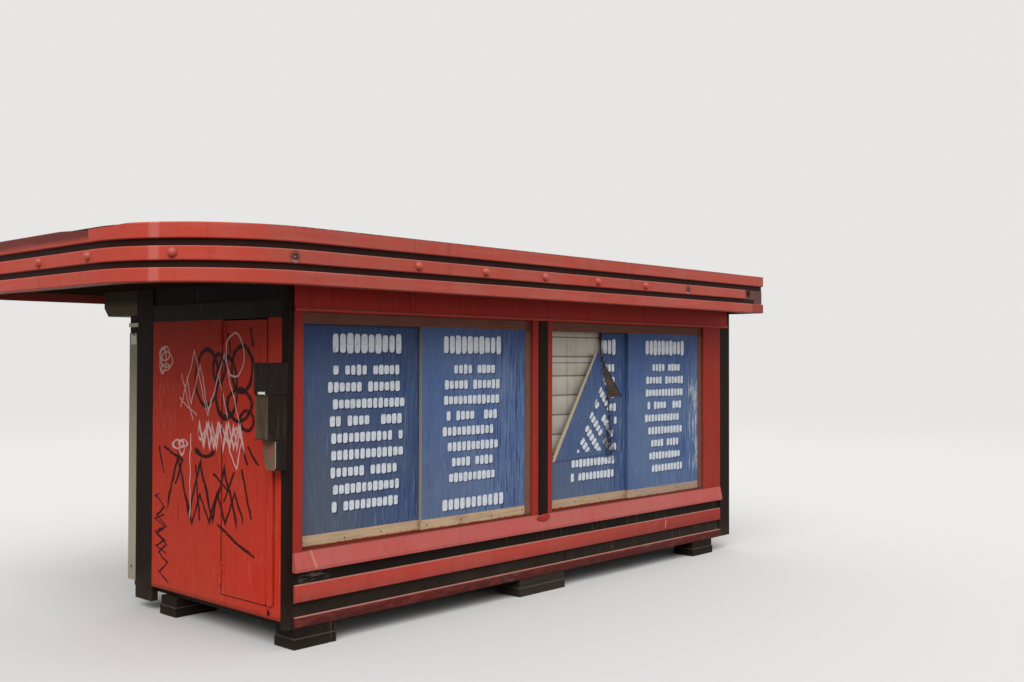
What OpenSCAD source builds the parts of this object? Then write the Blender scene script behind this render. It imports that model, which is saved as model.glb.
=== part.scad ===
// Steel street kiosk that stands on six low feet: a long cabin with four sliding boards on its
// street side, roller shutters on both long sides, a narrow door in one end, and a flat canopy
// whose banded fascia turns two rounded corners.
// X runs along the cabin, the street side faces -Y, and Z is height above the pavement.

/* [Cabin] */
// Length of the cabin over its end walls
body_l = 4775; // [4000:5:6000]
// Depth of the cabin from the street face to the back of the rear posts
body_d = 1735; // [1400:5:2200]
// Height of the feet, which carry the base
foot_h = 120; // [80:5:200]
// Height of the ceiling above the pavement
ceiling_z = 2144; // [1800:1:2700]
// Thickness of the end walls
end_wall_t = 50; // [30:1:80]
// Depth of the street wall behind its painted face
front_wall_d = 100; // [80:1:160]

/* [Frame] */
// Width of the near street post across the street face
post_w = 42; // [30:1:80]
// Depth of the street posts along the ends
post_d = 60; // [40:1:90]
// Width of the far street post across the street face
wide_post_w = 171; // [100:1:220]
// Depth of the rear posts along the ends
rear_post_d = 215; // [100:1:260]
// Width of the rails and cross members of the base
rail_w = 60; // [40:1:90]
// Height of the rails and cross members of the base
rail_h = 80; // [50:1:120]
// Number of cross members under the floor
cross_count = 5; // [3:1:7]
// Thickness of the floor plate
floor_t = 6; // [3:1:20]
// Radius of the edges of posts, rails and feet
tube_r = 6; // [2:0.5:12]
// Radius of the folded edges of walls, jambs and boards
fold_r = 3; // [1:0.5:6]
// Distance of the end walls' foot above the foot of the base
wall_foot = 43; // [20:1:80]
// Height of the beams over the end walls
beam_h = 223; // [150:1:300]
// Height of the part of these beams that lies flush with the end walls
beam_step_h = 109; // [60:1:140]
// Distance that the upper part of these beams is set back
beam_back = 10; // [2:1:20]
// Height of the foot of the rear posts above the pavement
rear_post_z = 60; // [20:5:120]
// Distance of the rear rail from the back of the rear posts
rear_rail_inset = 160; // [100:1:300]

/* [Feet] */
// Length of the feet under the ends of the cabin
foot_l = 306; // [200:2:400]
// Length of the feet under the middle of the cabin
middle_foot_l = 496; // [300:2:700]
// Depth of each foot
foot_d = 200; // [120:5:300]
// Distance of the rear feet from the street face
rear_foot_y = 1210; // [900:5:1500]
// Inset of the near street foot from the end with the door
near_foot_inset = 50; // [0:2:200]
// Inset of the far street foot from the end of the cabin
far_foot_inset = 295; // [0:5:500]
// Distance of the middle street foot from the middle, towards the near end
middle_foot_shift = 160; // [0:5:300]
// Height of the lower, wider step of each foot
foot_step_h = 60; // [30:1:100]
// Distance that the upper step is set in
foot_step = 6; // [2:1:20]

/* [Street face] */
// Thickness of the painted bands, jambs and header in front of the posts
face_t = 20; // [10:1:40]
// Distance of the painted bands' near ends from the near post
band_inset = 12; // [0:1:40]
// Height of the lowest band
low_band_h = 65; // [40:1:100]
// Height of the black gap above the lowest band
low_gap_h = 82; // [40:1:120]
// Height of the middle band
middle_band_h = 104; // [60:1:140]
// Height of the black gap above the middle band
middle_gap_h = 76; // [40:1:120]
// Height of the sloping sill
sill_h = 114; // [60:1:160]
// Distance that the foot of the sill stands out
sill_out = 22; // [8:1:50]
// Height of the header above the boards
head_h = 189; // [120:1:260]
// Width of the jamb beside the near post
near_jamb_w = 62; // [30:1:120]
// Width of the jamb on the near side of the mullion
mid_jamb_w = 66; // [40:1:160]
// Width of the black mullion
mullion_w = 100; // [60:1:180]
// Width of the jamb on the far side of the mullion
slim_jamb_w = 52; // [20:1:90]
// Width of the jamb beside the far post
far_jamb_w = 270; // [100:1:420]
// Distance that the mullion stands out from the jambs
mullion_out = 6; // [0:1:20]
// Height of the ledge along the foot of the header
ledge_h = 24; // [10:1:40]
// Distance that this ledge stands out
ledge_out = 14; // [5:1:25]
// Height of the upright lip of the sill
sill_lip = 18; // [8:1:30]
// Distance of the header's far end from the end of the cabin
header_end_gap = 60; // [0:1:100]

/* [Boards] */
// Thickness of each sliding board
board_t = 28; // [20:1:32]
// Thickness of the painted sheet that faces each board
board_skin = 5; // [3:0.5:8]
// Distance of the front board's face behind the jambs' face
board_recess = 18; // [10:1:24]
// Height of the timber batten that the boards run on
batten_h = 5; // [3:1:12]
// Height of the bare timber rail along the foot of each board
foot_rail_h = 74; // [40:1:120]
// Height of the timber track over the boards
upper_track_h = 68; // [40:1:120]
// Width of the timber upright at the far side of each pair
stile_w = 60; // [30:1:100]
// Width by which the boards of a pair lap each other
board_lap = 48; // [5:1:80]
// Clearance of the boards from the jambs and from each other
board_gap = 3; // [1:0.5:5]
// Width of the timbers inside the broken board
batten_w = 60; // [40:1:90]

/* [Shutters] */
// Height of one shutter slat
slat_h = 145; // [80:1:200]
// Height of the flat joint between two slats
slat_joint = 10; // [4:1:20]
// Thickness of the slats
slat_t = 6; // [3:1:8]
// Distance that each slat bulges outwards
slat_bulge = 8; // [3:1:9]
// Height of the plain bar along the foot of a curtain
foot_bar_h = 124; // [60:1:160]
// Depth of the guides of the rear shutters
guide_d = 100; // [60:1:140]
// Width of the guides at the two ends
guide_w = 50; // [40:1:80]
// Width of the guide between the rear shutters
middle_guide_w = 90; // [70:1:140]
// Depth of the box over the rear shutters
shutter_box_d = 465; // [250:5:600]
// Height of the box over the rear shutters
shutter_box_h = 172; // [120:1:220]
// Height of the bevel along the back of that box
shutter_box_bevel = 60; // [20:1:100]
// Depth of the slots that the rear curtains run in
slot_in = 35; // [20:1:38]
// Width of these slots
slot_w = 30; // [24:1:50]

/* [Door] */
// Distance of the door from the street face
door_y = 213; // [150:1:400]
// Width of the door leaf
door_w = 468; // [380:1:800]
// Thickness of the door leaf
door_t = 40; // [25:1:48]
// Gap along the hinge side, the foot and the head of the leaf
door_gap = 6; // [5:0.5:12]
// Gap along the free edge of the leaf
door_edge_gap = 9; // [8:0.5:15]
// Radius of the hinge barrels
barrel_r = 8; // [6:0.5:12]
// Radius of the hinge pins
pin_r = 4; // [3:0.5:6]
// Radial clearance between pin and barrel
pin_play = 0.4; // [0.2:0.1:0.8]
// Length of one hinge
hinge_l = 130; // [80:1:180]
// Height of the fixed panel under the door
door_sill_h = 72; // [40:1:120]
// Distance of the lower hinge above the foot of the leaf
hinge_foot = 64; // [30:1:150]
// Distance of the upper hinge below the head of the leaf
hinge_head = 20; // [10:1:150]
// Thickness of the sheet on the outside of the leaf
leaf_skin = 3; // [2:0.5:6]
// Width of the frame on the inside of the leaf
leaf_frame_w = 40; // [25:1:70]
// Number of open fields in this frame
leaf_fields = 3; // [1:1:5]

/* [Lock] */
// Distance of the flat bar from the street face
lock_bar_y = 138; // [125:1:140]
// Width of the flat bar beside the door
lock_bar_w = 60; // [40:1:60]
// Thickness of the flat bar
lock_bar_t = 10; // [5:1:15]
// Height of the lock box's foot above the pavement
lock_z = 1042; // [800:1:1200]
// Height of the lock box
lock_box_h = 616; // [400:1:700]
// Height of the cap on the lock box
lock_cap_h = 180; // [100:1:250]
// Distance that the lock box stands out from the wall
lock_box_out = 131; // [100:1:220]
// Width of the lock box along the wall
lock_box_w = 123; // [80:1:124]
// Distance that the cap stands out from the lock box
lock_cap_out = 10; // [4:1:20]
// Height of the tapered foot of the lock box
lock_foot_h = 176; // [100:1:250]
// Distance that this foot stands out from the wall
lock_foot_out = 83; // [50:1:100]
// Width of this foot at its lower end
lock_foot_w = 93; // [60:1:120]

/* [Canopy] */
// Distance that the canopy reaches over the street side
street_overhang = 330; // [200:5:500]
// Distance that the canopy reaches past the end with the door
end_overhang = 925; // [500:5:1200]
// Distance that the canopy reaches behind the rear posts
rear_overhang = 875; // [600:5:1200]
// Radius of the street corner of the canopy
street_corner_r = 850; // [500:5:1000]
// Radius of the rear corner of the canopy
rear_corner_r = 425; // [200:5:600]
// Distance that the fascia hangs below the ceiling
fascia_drop = 60; // [30:1:100]
// Height of the bottom band of the fascia
bottom_strip_h = 77; // [50:1:110]
// Height of the middle band of the fascia
middle_strip_h = 78; // [50:1:110]
// Height of the top band of the fascia
top_strip_h = 87; // [50:1:120]
// Height of the lower groove of the fascia
lower_groove_h = 37; // [20:1:60]
// Height of the upper groove of the fascia
upper_groove_h = 39; // [20:1:60]
// Thickness of the fascia bands
strip_t = 20; // [12:1:30]
// Thickness of the plate behind the fascia bands
backing_t = 12; // [6:1:20]
// Width of the tube along the foot of the fascia
rim_w = 40; // [25:1:60]
// Length of the stretch where the middle band is missing
missing_l = 300; // [10:10:600]
// Radius of the domed caps on the middle band
cap_r = 27; // [15:1:35]
// Distance that the caps stand out
cap_out = 24; // [6:1:30]
// Distance from one cap to the next
cap_pitch = 580; // [500:5:600]
// Distance of the first street cap from the near end of the cabin
cap_first_x = 704; // [600:1:800]
// Distance of the first end cap behind the centre of the street corner's curve
end_cap_y = 47; // [0:1:200]
// Distance from one end cap to the next
end_cap_pitch = 605; // [500:5:650]
// Direction in which the cap on the street corner points
corner_cap_turn = 218; // [200:1:250]
// Width of the roof joists
joist_w = 60; // [40:1:100]
// Number of roof joists
joist_count = 5; // [3:1:8]

/* [Hidden] */
$fn = 64;
eps = 0.01;

red = "#b4443a";
black = "#26282a";
blue = "#3f5a94";
timber = "#a08a66";
grey = "#8f9488";
pale_green = "#97a595";

base_z = foot_h;
floor_z = base_z + rail_h;
low_gap_z = base_z + low_band_h;
middle_band_z = low_gap_z + low_gap_h;
middle_gap_z = middle_band_z + middle_band_h;
sill_z = middle_gap_z + middle_gap_h;
opening_z = sill_z + sill_h;
head_z = ceiling_z - head_h;

post_y = 10;
post_back = post_y + post_d;
rear_post_y = body_d - rear_post_d;
wall_z = base_z + wall_foot;
beam_z = ceiling_z - beam_h;

bay_w = (body_l - post_w - near_jamb_w - mid_jamb_w - mullion_w - slim_jamb_w - far_jamb_w
    - wide_post_w) / 2;
bay_1_x = post_w + near_jamb_w;
mullion_x = bay_1_x + bay_w + mid_jamb_w;
bay_2_x = mullion_x + mullion_w + slim_jamb_w;
far_jamb_x = bay_2_x + bay_w;
far_post_x = body_l - wide_post_w;
bay_x = [bay_1_x, bay_2_x];

rail_foot_z = opening_z + batten_h;
board_z = rail_foot_z + foot_rail_h;
board_top = head_z - upper_track_h;
board_w = (bay_w - stile_w - 2 * board_gap + board_lap) / 2;
front_layer_y = board_recess;
back_layer_y = front_layer_y + board_t + board_gap;
track_back = back_layer_y + board_t;
front_curtain_y = front_wall_d - slat_t - board_gap;

door_top = beam_z - door_edge_gap;
door_z = wall_z + door_sill_h;
hinge_y = door_y + door_w + door_gap / 2;
hinge_z = [door_z + hinge_foot, door_top - hinge_l - hinge_head];
strap_t = 3;
strap_w = 45;
lock_cap_lip = 4;
lock_side_gap = 2;
lock_top = lock_z + lock_box_h;

sill_back = body_d + guide_d;
rear_rail_y = body_d - rear_rail_inset;
mullion_d = 70;
mid_x = body_l / 2;
box_foot_z = ceiling_z - shutter_box_h;
guide_foot = 50;
guide_head_gap = 119;
slot_back = 40;
guide_z = base_z + guide_foot;
guide_top = box_foot_z - guide_head_gap;
slot_y = body_d + slot_back;

fascia_h = bottom_strip_h + lower_groove_h + middle_strip_h + upper_groove_h + top_strip_h;
fascia_z = ceiling_z - fascia_drop;
fascia_top = fascia_z + fascia_h;
middle_strip_z = bottom_strip_h + lower_groove_h;
top_strip_z = middle_strip_z + middle_strip_h + upper_groove_h;
canopy_x = -end_overhang;
canopy_y = -street_overhang;
canopy_back = body_d + rear_overhang;
skin_t = strip_t + backing_t;
sheet_t = 6;
deck_drop = 26;
end_plate_t = 8;
joint = 1;
strip_r = 8;
worn_depth = 100;
return_t = 4;
groove_plate_l = 126;
plate_top_gap = 4;
joist_inset = 60;
joist_far_gap = 200;
cap_z = fascia_z + middle_strip_z + middle_strip_h / 2;
street_caps = 5;
end_caps = 3;
rear_caps = 7;

// The frame's origin lies on the pavement under the middle of the whole kiosk.
module placed() {
    translate([
        -(canopy_x - cap_out + body_l) / 2,
        -(canopy_y + canopy_back) / 2,
        0
    ])
    children();
}

// A plain slab between two opposite corners.
module slab(low, high) {
    translate(low)
    cube(high - low);
}

// Profile in Y and Z, drawn out along X from x0 to x1.
module along_x(x0, x1) {
    translate([x0, 0, 0])
    rotate([90, 0, 90])
    linear_extrude(x1 - x0)
    children();
}

// Flat outline in X and Z, drawn back along Y by the depth d.
module panel_xz(y, d) {
    translate([0, y + d, 0])
    rotate([90, 0, 0])
    linear_extrude(d)
    children();
}

// Rectangle with rounded corners.
module round_rect(w, h, r) {
    translate([r, 0])
    square([w - 2 * r, h]);
    translate([0, r])
    square([w, h - 2 * r]);
    for (x = [r, w - r], y = [r, h - r])
        translate([x, y])
        circle(r);
}

// Upright piece with rounded edges between two opposite corners.
module upright(low, high, r) {
    size = high - low;
    translate(low)
    linear_extrude(size[2])
    round_rect(size[0], size[1], r);
}

// Piece along X with rounded edges between two opposite corners.
module rail_x(low, high, r) {
    size = high - low;
    translate([0, low[1], low[2]])
    along_x(low[0], high[0])
    round_rect(size[1], size[2], r);
}

// Foot of two steps whose near street corner is at x, y.
module foot(x, y, l) {
    upright([x, y, 0], [x + l, y + foot_d, foot_step_h], tube_r);
    upright([x + foot_step, y + foot_step, foot_step_h],
        [x + l - foot_step, y + foot_d - foot_step, foot_h], tube_r);
}

module feet() {
    color(black)
    placed() {
        foot(near_foot_inset, 0, foot_l);
        foot(mid_x - middle_foot_shift - middle_foot_l / 2, 0, middle_foot_l);
        foot(body_l - far_foot_inset - foot_l, 0, foot_l);
        foot(0, rear_foot_y, foot_l);
        foot(mid_x - middle_foot_l / 2, rear_foot_y, middle_foot_l);
        foot(body_l - foot_l, rear_foot_y, foot_l);
    }
}

module base_rails() {
    color(black)
    placed()
    for (y = [front_wall_d, rear_rail_y])
        rail_x([end_wall_t, y, base_z], [body_l - end_wall_t, y + rail_w, floor_z], tube_r);
}

module base_cross_members() {
    span = body_l - 2 * end_wall_t - rail_w;
    color(black)
    placed()
    for (i = [0 : cross_count - 1]) {
        x = end_wall_t + span * i / (cross_count - 1);
        slab([x, front_wall_d + rail_w, base_z], [x + rail_w, rear_rail_y, floor_z]);
    }
}

module floor_plate() {
    color("#5b5b58")
    placed()
    slab([end_wall_t, front_wall_d, floor_z],
        [body_l - end_wall_t, rear_rail_y + rail_w, floor_z + floor_t]);
}

module corner_posts() {
    color(black)
    placed() {
        upright([0, post_y, base_z], [post_w, post_back, ceiling_z], tube_r);
        upright([far_post_x, post_y, base_z], [body_l, post_back, ceiling_z], tube_r);
        upright([0, rear_post_y, rear_post_z], [end_wall_t, body_d, ceiling_z], tube_r);
        upright([body_l - end_wall_t, rear_post_y, rear_post_z], [body_l, body_d, ceiling_z],
            tube_r);
    }
}

// The street wall ends where the near end wall begins behind the post.
module beside_end_wall() {
    difference() {
        children();
        slab([-1, post_back, 0], [end_wall_t, front_wall_d + 1, ceiling_z + 1]);
    }
}

module front_lower_wall() {
    color(black)
    placed()
    beside_end_wall()
    slab([post_w, face_t, base_z], [far_post_x, front_wall_d, opening_z]);
}

// Folded band: a flat face with both outer edges rounded.
module band_profile(h, t, r) {
    square([t - r, h]);
    translate([0, r])
    square([t, h - 2 * r]);
    for (z = [r, h - r])
        translate([t - r, z])
        circle(r);
}

module front_bands() {
    color(red)
    placed()
    for (b = [[base_z, low_band_h], [middle_band_z, middle_band_h]])
        translate([0, face_t, b[0]])
        mirror([0, 1, 0])
        along_x(post_w + band_inset, far_post_x)
        band_profile(b[1], face_t, strip_r);
}

module front_sill() {
    color(red)
    placed()
    along_x(post_w, far_post_x)
    polygon([
        [face_t, sill_z],
        [-sill_out, sill_z],
        [-sill_out, sill_z + sill_lip],
        [0, opening_z],
        [face_t, opening_z]
    ]);
}

module front_jambs() {
    strips = [
        [post_w, near_jamb_w],
        [bay_1_x + bay_w, mid_jamb_w],
        [mullion_x + mullion_w, slim_jamb_w],
        [far_jamb_x, far_jamb_w]
    ];
    color(red)
    placed()
    beside_end_wall()
    for (s = strips)
        upright([s[0], 0, opening_z], [s[0] + s[1], front_wall_d, head_z], fold_r);
}

module front_mullion() {
    color(black)
    placed()
    upright([mullion_x, -mullion_out, opening_z],
        [mullion_x + mullion_w, front_wall_d, head_z], tube_r);
}

module front_head_beam() {
    color(black)
    placed()
    beside_end_wall()
    slab([post_w, post_y, head_z], [far_post_x, front_wall_d, ceiling_z]);
}

module front_header() {
    nose_r = ledge_h / 2;
    color(red)
    placed()
    along_x(post_w, body_l - header_end_gap) {
        translate([0, head_z])
        square([post_y, head_h]);
        translate([nose_r - ledge_out, head_z])
        square([ledge_out - nose_r, ledge_h]);
        translate([nose_r - ledge_out, head_z + nose_r])
        circle(nose_r);
    }
}

// Near and far board of a pair, or the rail along its foot, between two heights.
// The far one runs in the front track and laps the near one.
module near_board(x, z0, z1) {
    upright([x + board_gap, back_layer_y, z0],
        [x + board_gap + board_w, back_layer_y + board_t, z1], fold_r);
}

module far_board(x, z0, z1) {
    x1 = x + bay_w - stile_w - board_gap;
    upright([x1 - board_w, front_layer_y, z0], [x1, front_layer_y + board_t, z1], fold_r);
}

module board_1() {
    color(blue)
    placed()
    near_board(bay_1_x, board_z, board_top);
}

module board_2() {
    color(blue)
    placed()
    far_board(bay_1_x, board_z, board_top);
}

// The upper near part of this board is torn away: only a strip beside the far board is left
// there, and through the notch at its foot the timber behind the painted sheet shows.
// Points of the break are distances from the board's near edge and below its top.
strip_x = 649;
strip_foot = [636, 189];
notch_tip = [906, 504];
notch_foot = [718, 505];
notch_back_x = 574;
break_foot = [700, 880];
break_mid = [240, 870];
break_edge_drop = 930;
module board_3() {
    x = bay_2_x + board_gap;
    x1 = x + board_w;
    back = back_layer_y + board_skin;
    timber_back = back_layer_y + board_t;
    rail_z = board_top - notch_foot[1];
    color(blue)
    placed() {
        panel_xz(back_layer_y, board_skin)
        polygon(concat(
            [[x, board_z], [x1, board_z], [x1, board_top], [x + strip_x, board_top]],
            [for (p = [strip_foot, notch_tip, notch_foot, break_foot, break_mid])
                [x + p[0], board_top - p[1]]],
            [[x, board_top - break_edge_drop]]
        ));
        slab([x, back, board_z], [x1, timber_back, board_z + batten_w]);
        slab([x1 - batten_w, back, board_z], [x1, timber_back, board_top]);
        slab([x + strip_x, back, board_top - batten_w], [x1, timber_back, board_top]);
        slab([x + notch_back_x, back, rail_z],
            [x1, timber_back, board_top - strip_foot[1]]);
        slab([x + break_foot[0], back, rail_z - batten_w / 2], [x1, timber_back, rail_z]);
        slab([x, back, board_z],
            [x + batten_w, timber_back, board_top - break_edge_drop - batten_w]);
    }
}

module board_4() {
    color(blue)
    placed()
    far_board(bay_2_x, board_z, board_top);
}

// The torn-off part of the sheet hangs against the board that it came from.
piece_x = 24;
module board_piece() {
    outline = [[537, 158], [610, 164], [695, 496], [741, 941], [32, 967], [41, 925]];
    color(blue)
    placed()
    panel_xz(back_layer_y - board_skin, board_skin)
    translate([bay_2_x + piece_x, board_top])
    mirror([0, 1])
    polygon(outline);
}

module board_tracks() {
    color(timber)
    placed()
    for (x = bay_x) {
        x1 = x + bay_w - stile_w;
        slab([x, front_layer_y, opening_z], [x1, track_back, rail_foot_z]);
        slab([x, front_layer_y, board_top], [x1, track_back, head_z]);
        slab([x1, front_layer_y, opening_z], [x + bay_w, track_back, head_z]);
        near_board(x, rail_foot_z, board_z);
        far_board(x, rail_foot_z, board_z);
    }
}

// Points along one slat from its foot up, as a shallow arc between two flat joints.
slat_steps = 6;
function slat_arc(z, y) = [
    for (i = [0 : slat_steps])
        [y - slat_bulge * sin(180 * i / slat_steps),
            z + slat_joint / 2 + (slat_h - slat_joint) * i / slat_steps]
];

function reversed(list) = [for (i = [len(list) - 1 : -1 : 0]) list[i]];

// A shutter curtain between two heights: a plain foot bar, then slats up to the head, which
// cuts the last one. The outer face bulges towards -Y.
module curtain(x0, x1, z0, z1, y) {
    foot_top = z0 + foot_bar_h;
    count = ceil((z1 - foot_top) / slat_h);
    outer = [for (i = [0 : count - 1]) each slat_arc(foot_top + i * slat_h, y)];
    inner = [for (p = outer) [p[0] + slat_t, p[1]]];
    along_x(x0, x1)
    intersection() {
        union() {
            polygon(concat([[y, foot_top]], outer, reversed(inner), [[y + slat_t, foot_top]]));
            translate([y - slat_bulge, z0])
            square([slat_bulge + slat_t, foot_bar_h - slat_joint / 2]);
            translate([y, z0])
            square([slat_t, foot_bar_h]);
        }
        translate([y - slat_bulge, z0])
        square([slat_bulge + slat_t, z1 - z0]);
    }
}

module front_shutters() {
    color("#b9bbb6")
    placed()
    for (x = bay_x)
        curtain(x + board_gap, x + bay_w - board_gap, opening_z, head_z, front_curtain_y);
}

module end_wall_front() {
    color(red)
    placed()
    upright([0, post_back, wall_z], [end_wall_t, door_y - door_edge_gap, beam_z], fold_r);
}

module end_wall_rear() {
    color(red)
    placed()
    upright([0, door_y + door_w + door_gap, wall_z], [end_wall_t, rear_post_y, beam_z],
        fold_r);
}

module door_sill_panel() {
    color(red)
    placed()
    slab([0, door_y - door_edge_gap, wall_z],
        [end_wall_t, door_y + door_w + door_gap, door_z - door_gap]);
}

// Upper half of a lift-off hinge: a bored barrel on a strap that lies on the leaf.
module hinge_upper(z) {
    l = hinge_l / 2 - joint;
    difference() {
        union() {
            slab([-strap_t, hinge_y - strap_w, z + hinge_l / 2 + joint],
                [0, hinge_y - door_gap / 2 - eps, z + hinge_l]);
            slab([-barrel_r - strap_t, hinge_y - barrel_r, z + hinge_l / 2 + joint],
                [-barrel_r + strap_t, hinge_y, z + hinge_l]);
            translate([-barrel_r, hinge_y, z + hinge_l / 2 + joint])
            cylinder(r = barrel_r, h = l);
        }
        translate([-barrel_r, hinge_y, z])
        cylinder(r = pin_r + pin_play, h = 2 * hinge_l);
    }
}

// Lower half of a lift-off hinge: a barrel with a pin on a strap that lies on the wall.
module hinge_lower(z) {
    slab([-strap_t, hinge_y, z],
        [0, hinge_y + strap_w, z + hinge_l / 2]);
    translate([-barrel_r, hinge_y, z])
    cylinder(r = barrel_r, h = hinge_l / 2);
    translate([-barrel_r, hinge_y, z])
    cylinder(r = pin_r, h = hinge_l - strap_t);
}

// The leaf is a folded sheet with an open frame of tubes on its inside.
module door_leaf() {
    w = leaf_frame_w;
    field_h = (door_top - door_z - w) / leaf_fields - w;
    color(red)
    placed() {
        difference() {
            upright([0, door_y, door_z], [door_t, door_y + door_w, door_top], fold_r);
            for (i = [0 : leaf_fields - 1])
                translate([leaf_skin, door_y + w, door_z + w + i * (field_h + w)])
                cube([door_t, door_w - 2 * w, field_h]);
        }
        for (z = hinge_z)
            hinge_upper(z);
    }
}

module door_hinge_seats() {
    color(red)
    placed()
    for (z = hinge_z)
        hinge_lower(z);
}

// Flat bar with a round foot beside the free edge of the door.
module lock_bar() {
    foot_z = door_z + lock_bar_w / 2;
    color(red)
    placed()
    translate([-lock_bar_t, lock_bar_y, foot_z]) {
        cube([lock_bar_t, lock_bar_w, lock_z - foot_z]);
        translate([0, lock_bar_w / 2, 0])
        rotate([0, 90, 0])
        cylinder(r = lock_bar_w / 2, h = lock_bar_t);
    }
}

// Folded steel box over the lock, with a deeper cap and a shallower, tapered foot.
module lock_box() {
    y0 = post_y + lock_side_gap;
    body_z = lock_z + lock_foot_h;
    head_foot_z = lock_top - lock_cap_h;
    color(black)
    placed() {
        along_x(-lock_foot_out, 0)
        polygon([
            [y0, lock_z],
            [y0 + lock_foot_w, lock_z],
            [y0 + lock_box_w, body_z],
            [y0, body_z]
        ]);
        slab([-lock_box_out, y0, body_z], [0, y0 + lock_box_w, head_foot_z]);
        slab([-lock_box_out - lock_cap_out, post_y, head_foot_z],
            [0, post_y + lock_box_w + lock_cap_lip, lock_top]);
    }
}

module end_head_beam_profile() {
    polygon([
        [0, beam_z],
        [0, beam_z + beam_step_h],
        [beam_back, beam_z + beam_step_h],
        [beam_back, ceiling_z],
        [end_wall_t, ceiling_z],
        [end_wall_t, beam_z]
    ]);
}

module end_head_beams() {
    color(black)
    placed() {
        panel_xz(post_back, rear_post_y - post_back)
        end_head_beam_profile();
        translate([body_l, 0, 0])
        mirror([1, 0, 0])
        panel_xz(post_back, rear_post_y - post_back)
        end_head_beam_profile();
    }
}

module end_wall_far() {
    color(red)
    placed()
    upright([body_l - end_wall_t, post_back, wall_z], [body_l, rear_post_y, beam_z],
        fold_r);
}

module rear_sill() {
    color(black)
    placed()
    slab([end_wall_t, rear_rail_y + rail_w, base_z],
        [body_l - end_wall_t, sill_back, floor_z]);
}

module rear_mullion() {
    color(black)
    placed()
    upright([mid_x - mullion_d / 2, body_d - mullion_d, floor_z],
        [mid_x + mullion_d / 2, body_d, box_foot_z], tube_r);
}

module rear_header() {
    color(red)
    placed()
    slab([end_wall_t, body_d - mullion_d, box_foot_z],
        [body_l - end_wall_t, body_d, ceiling_z]);
}

// The rear curtains run in slots of these guides.
module guide(x0, x1, z, slots) {
    difference() {
        slab([x0, body_d, z], [x1, sill_back, guide_top]);
        for (x = slots)
            slab([x - slot_in, slot_y, z - 1], [x + slot_in, slot_y + slot_w, guide_top + 1]);
    }
}

module rear_guides() {
    color(pale_green)
    placed() {
        guide(0, guide_w, guide_z, [guide_w]);
        guide(body_l - guide_w, body_l, guide_z, [body_l - guide_w]);
        guide(mid_x - middle_guide_w / 2, mid_x + middle_guide_w / 2, floor_z,
            [mid_x - middle_guide_w / 2, mid_x + middle_guide_w / 2]);
    }
}

module rear_shutters() {
    end_play = 5;
    end_gap = guide_w - slot_in + end_play;
    middle_gap = middle_guide_w / 2 - slot_in + end_play;
    y = 2 * slot_y + slot_w;
    color("#b9bbb6")
    placed()
    for (x = [[end_gap, mid_x - middle_gap], [mid_x + middle_gap, body_l - end_gap]])
        translate([0, y, 0])
        mirror([0, 1, 0])
        curtain(x[0], x[1], floor_z, box_foot_z,
            slot_y + (slot_w + slat_bulge - slat_t) / 2);
}

module shutter_box() {
    color(grey)
    placed()
    along_x(0, body_l)
    polygon([
        [body_d, box_foot_z],
        [body_d + shutter_box_d - shutter_box_bevel, box_foot_z],
        [body_d + shutter_box_d, box_foot_z + shutter_box_bevel],
        [body_d + shutter_box_d, ceiling_z],
        [body_d, ceiling_z]
    ]);
}

// Slab with the canopy's plan, set in from its outer line.
module canopy_slab(inset, z, t, x_end) {
    r1 = street_corner_r;
    r2 = rear_corner_r;
    union() {
        slab([canopy_x + inset, canopy_y + r1, z], [x_end, canopy_back - r2, z + t]);
        slab([canopy_x + r1, canopy_y + inset, z], [x_end, canopy_y + r1, z + t]);
        slab([canopy_x + r2, canopy_back - r2, z], [x_end, canopy_back - inset, z + t]);
        translate([canopy_x + r1, canopy_y + r1, z])
        cylinder(r = r1 - inset, h = t);
        translate([canopy_x + r2, canopy_back - r2, z])
        cylinder(r = r2 - inset, h = t);
    }
}

// Straight run of a profile whose X points outwards, at the angle a.
module fascia_run(p, a, l) {
    translate(p)
    rotate([0, 0, a])
    rotate([90, 0, 0])
    linear_extrude(l)
    children();
}

// Profile swept along the canopy's edge: street side, corner, end, corner, rear side.
// The profile's X is the distance from the canopy's outer line, inwards negative.
module canopy_sweep(z, x_street, x_rear, gap) {
    r1 = street_corner_r;
    r2 = rear_corner_r;
    fascia_run([x_street, canopy_y, z], -90, x_street - canopy_x - r1 - gap)
    children();
    translate([canopy_x + r1, canopy_y + r1, z])
    rotate([0, 0, 180])
    rotate_extrude(angle = 90)
    translate([r1, 0])
    children();
    fascia_run([canopy_x, canopy_y + r1 + gap, z], 180,
        canopy_back - r2 - canopy_y - r1 - 2 * gap)
    children();
    translate([canopy_x + r2, canopy_back - r2, z])
    rotate([0, 0, 90])
    rotate_extrude(angle = 90)
    translate([r2, 0])
    children();
    fascia_run([canopy_x + r2 + gap, canopy_back, z], 90, x_rear - canopy_x - r2 - gap)
    children();
}

module soffit() {
    color("#3a3734")
    placed()
    canopy_slab(skin_t, ceiling_z, sheet_t, body_l - end_plate_t);
}

module canopy_rim() {
    color(red)
    placed()
    canopy_sweep(fascia_z, body_l - end_plate_t, body_l - end_plate_t, joint)
    translate([-skin_t - rim_w, 0])
    square([rim_w, fascia_drop]);
}

module roof_joists() {
    step = (body_l - joist_far_gap - joist_w) / (joist_count - 1);
    low_z = ceiling_z + sheet_t;
    high_z = fascia_top - deck_drop - sheet_t;
    color(black)
    placed()
    for (i = [0 : joist_count - 1])
        slab([i * step, canopy_y + joist_inset, low_z],
            [i * step + joist_w, canopy_back - joist_inset, high_z]);
}

module roof_deck() {
    color("#6b6863")
    placed()
    canopy_slab(skin_t, fascia_top - deck_drop - sheet_t, sheet_t, body_l - end_plate_t);
}

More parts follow.
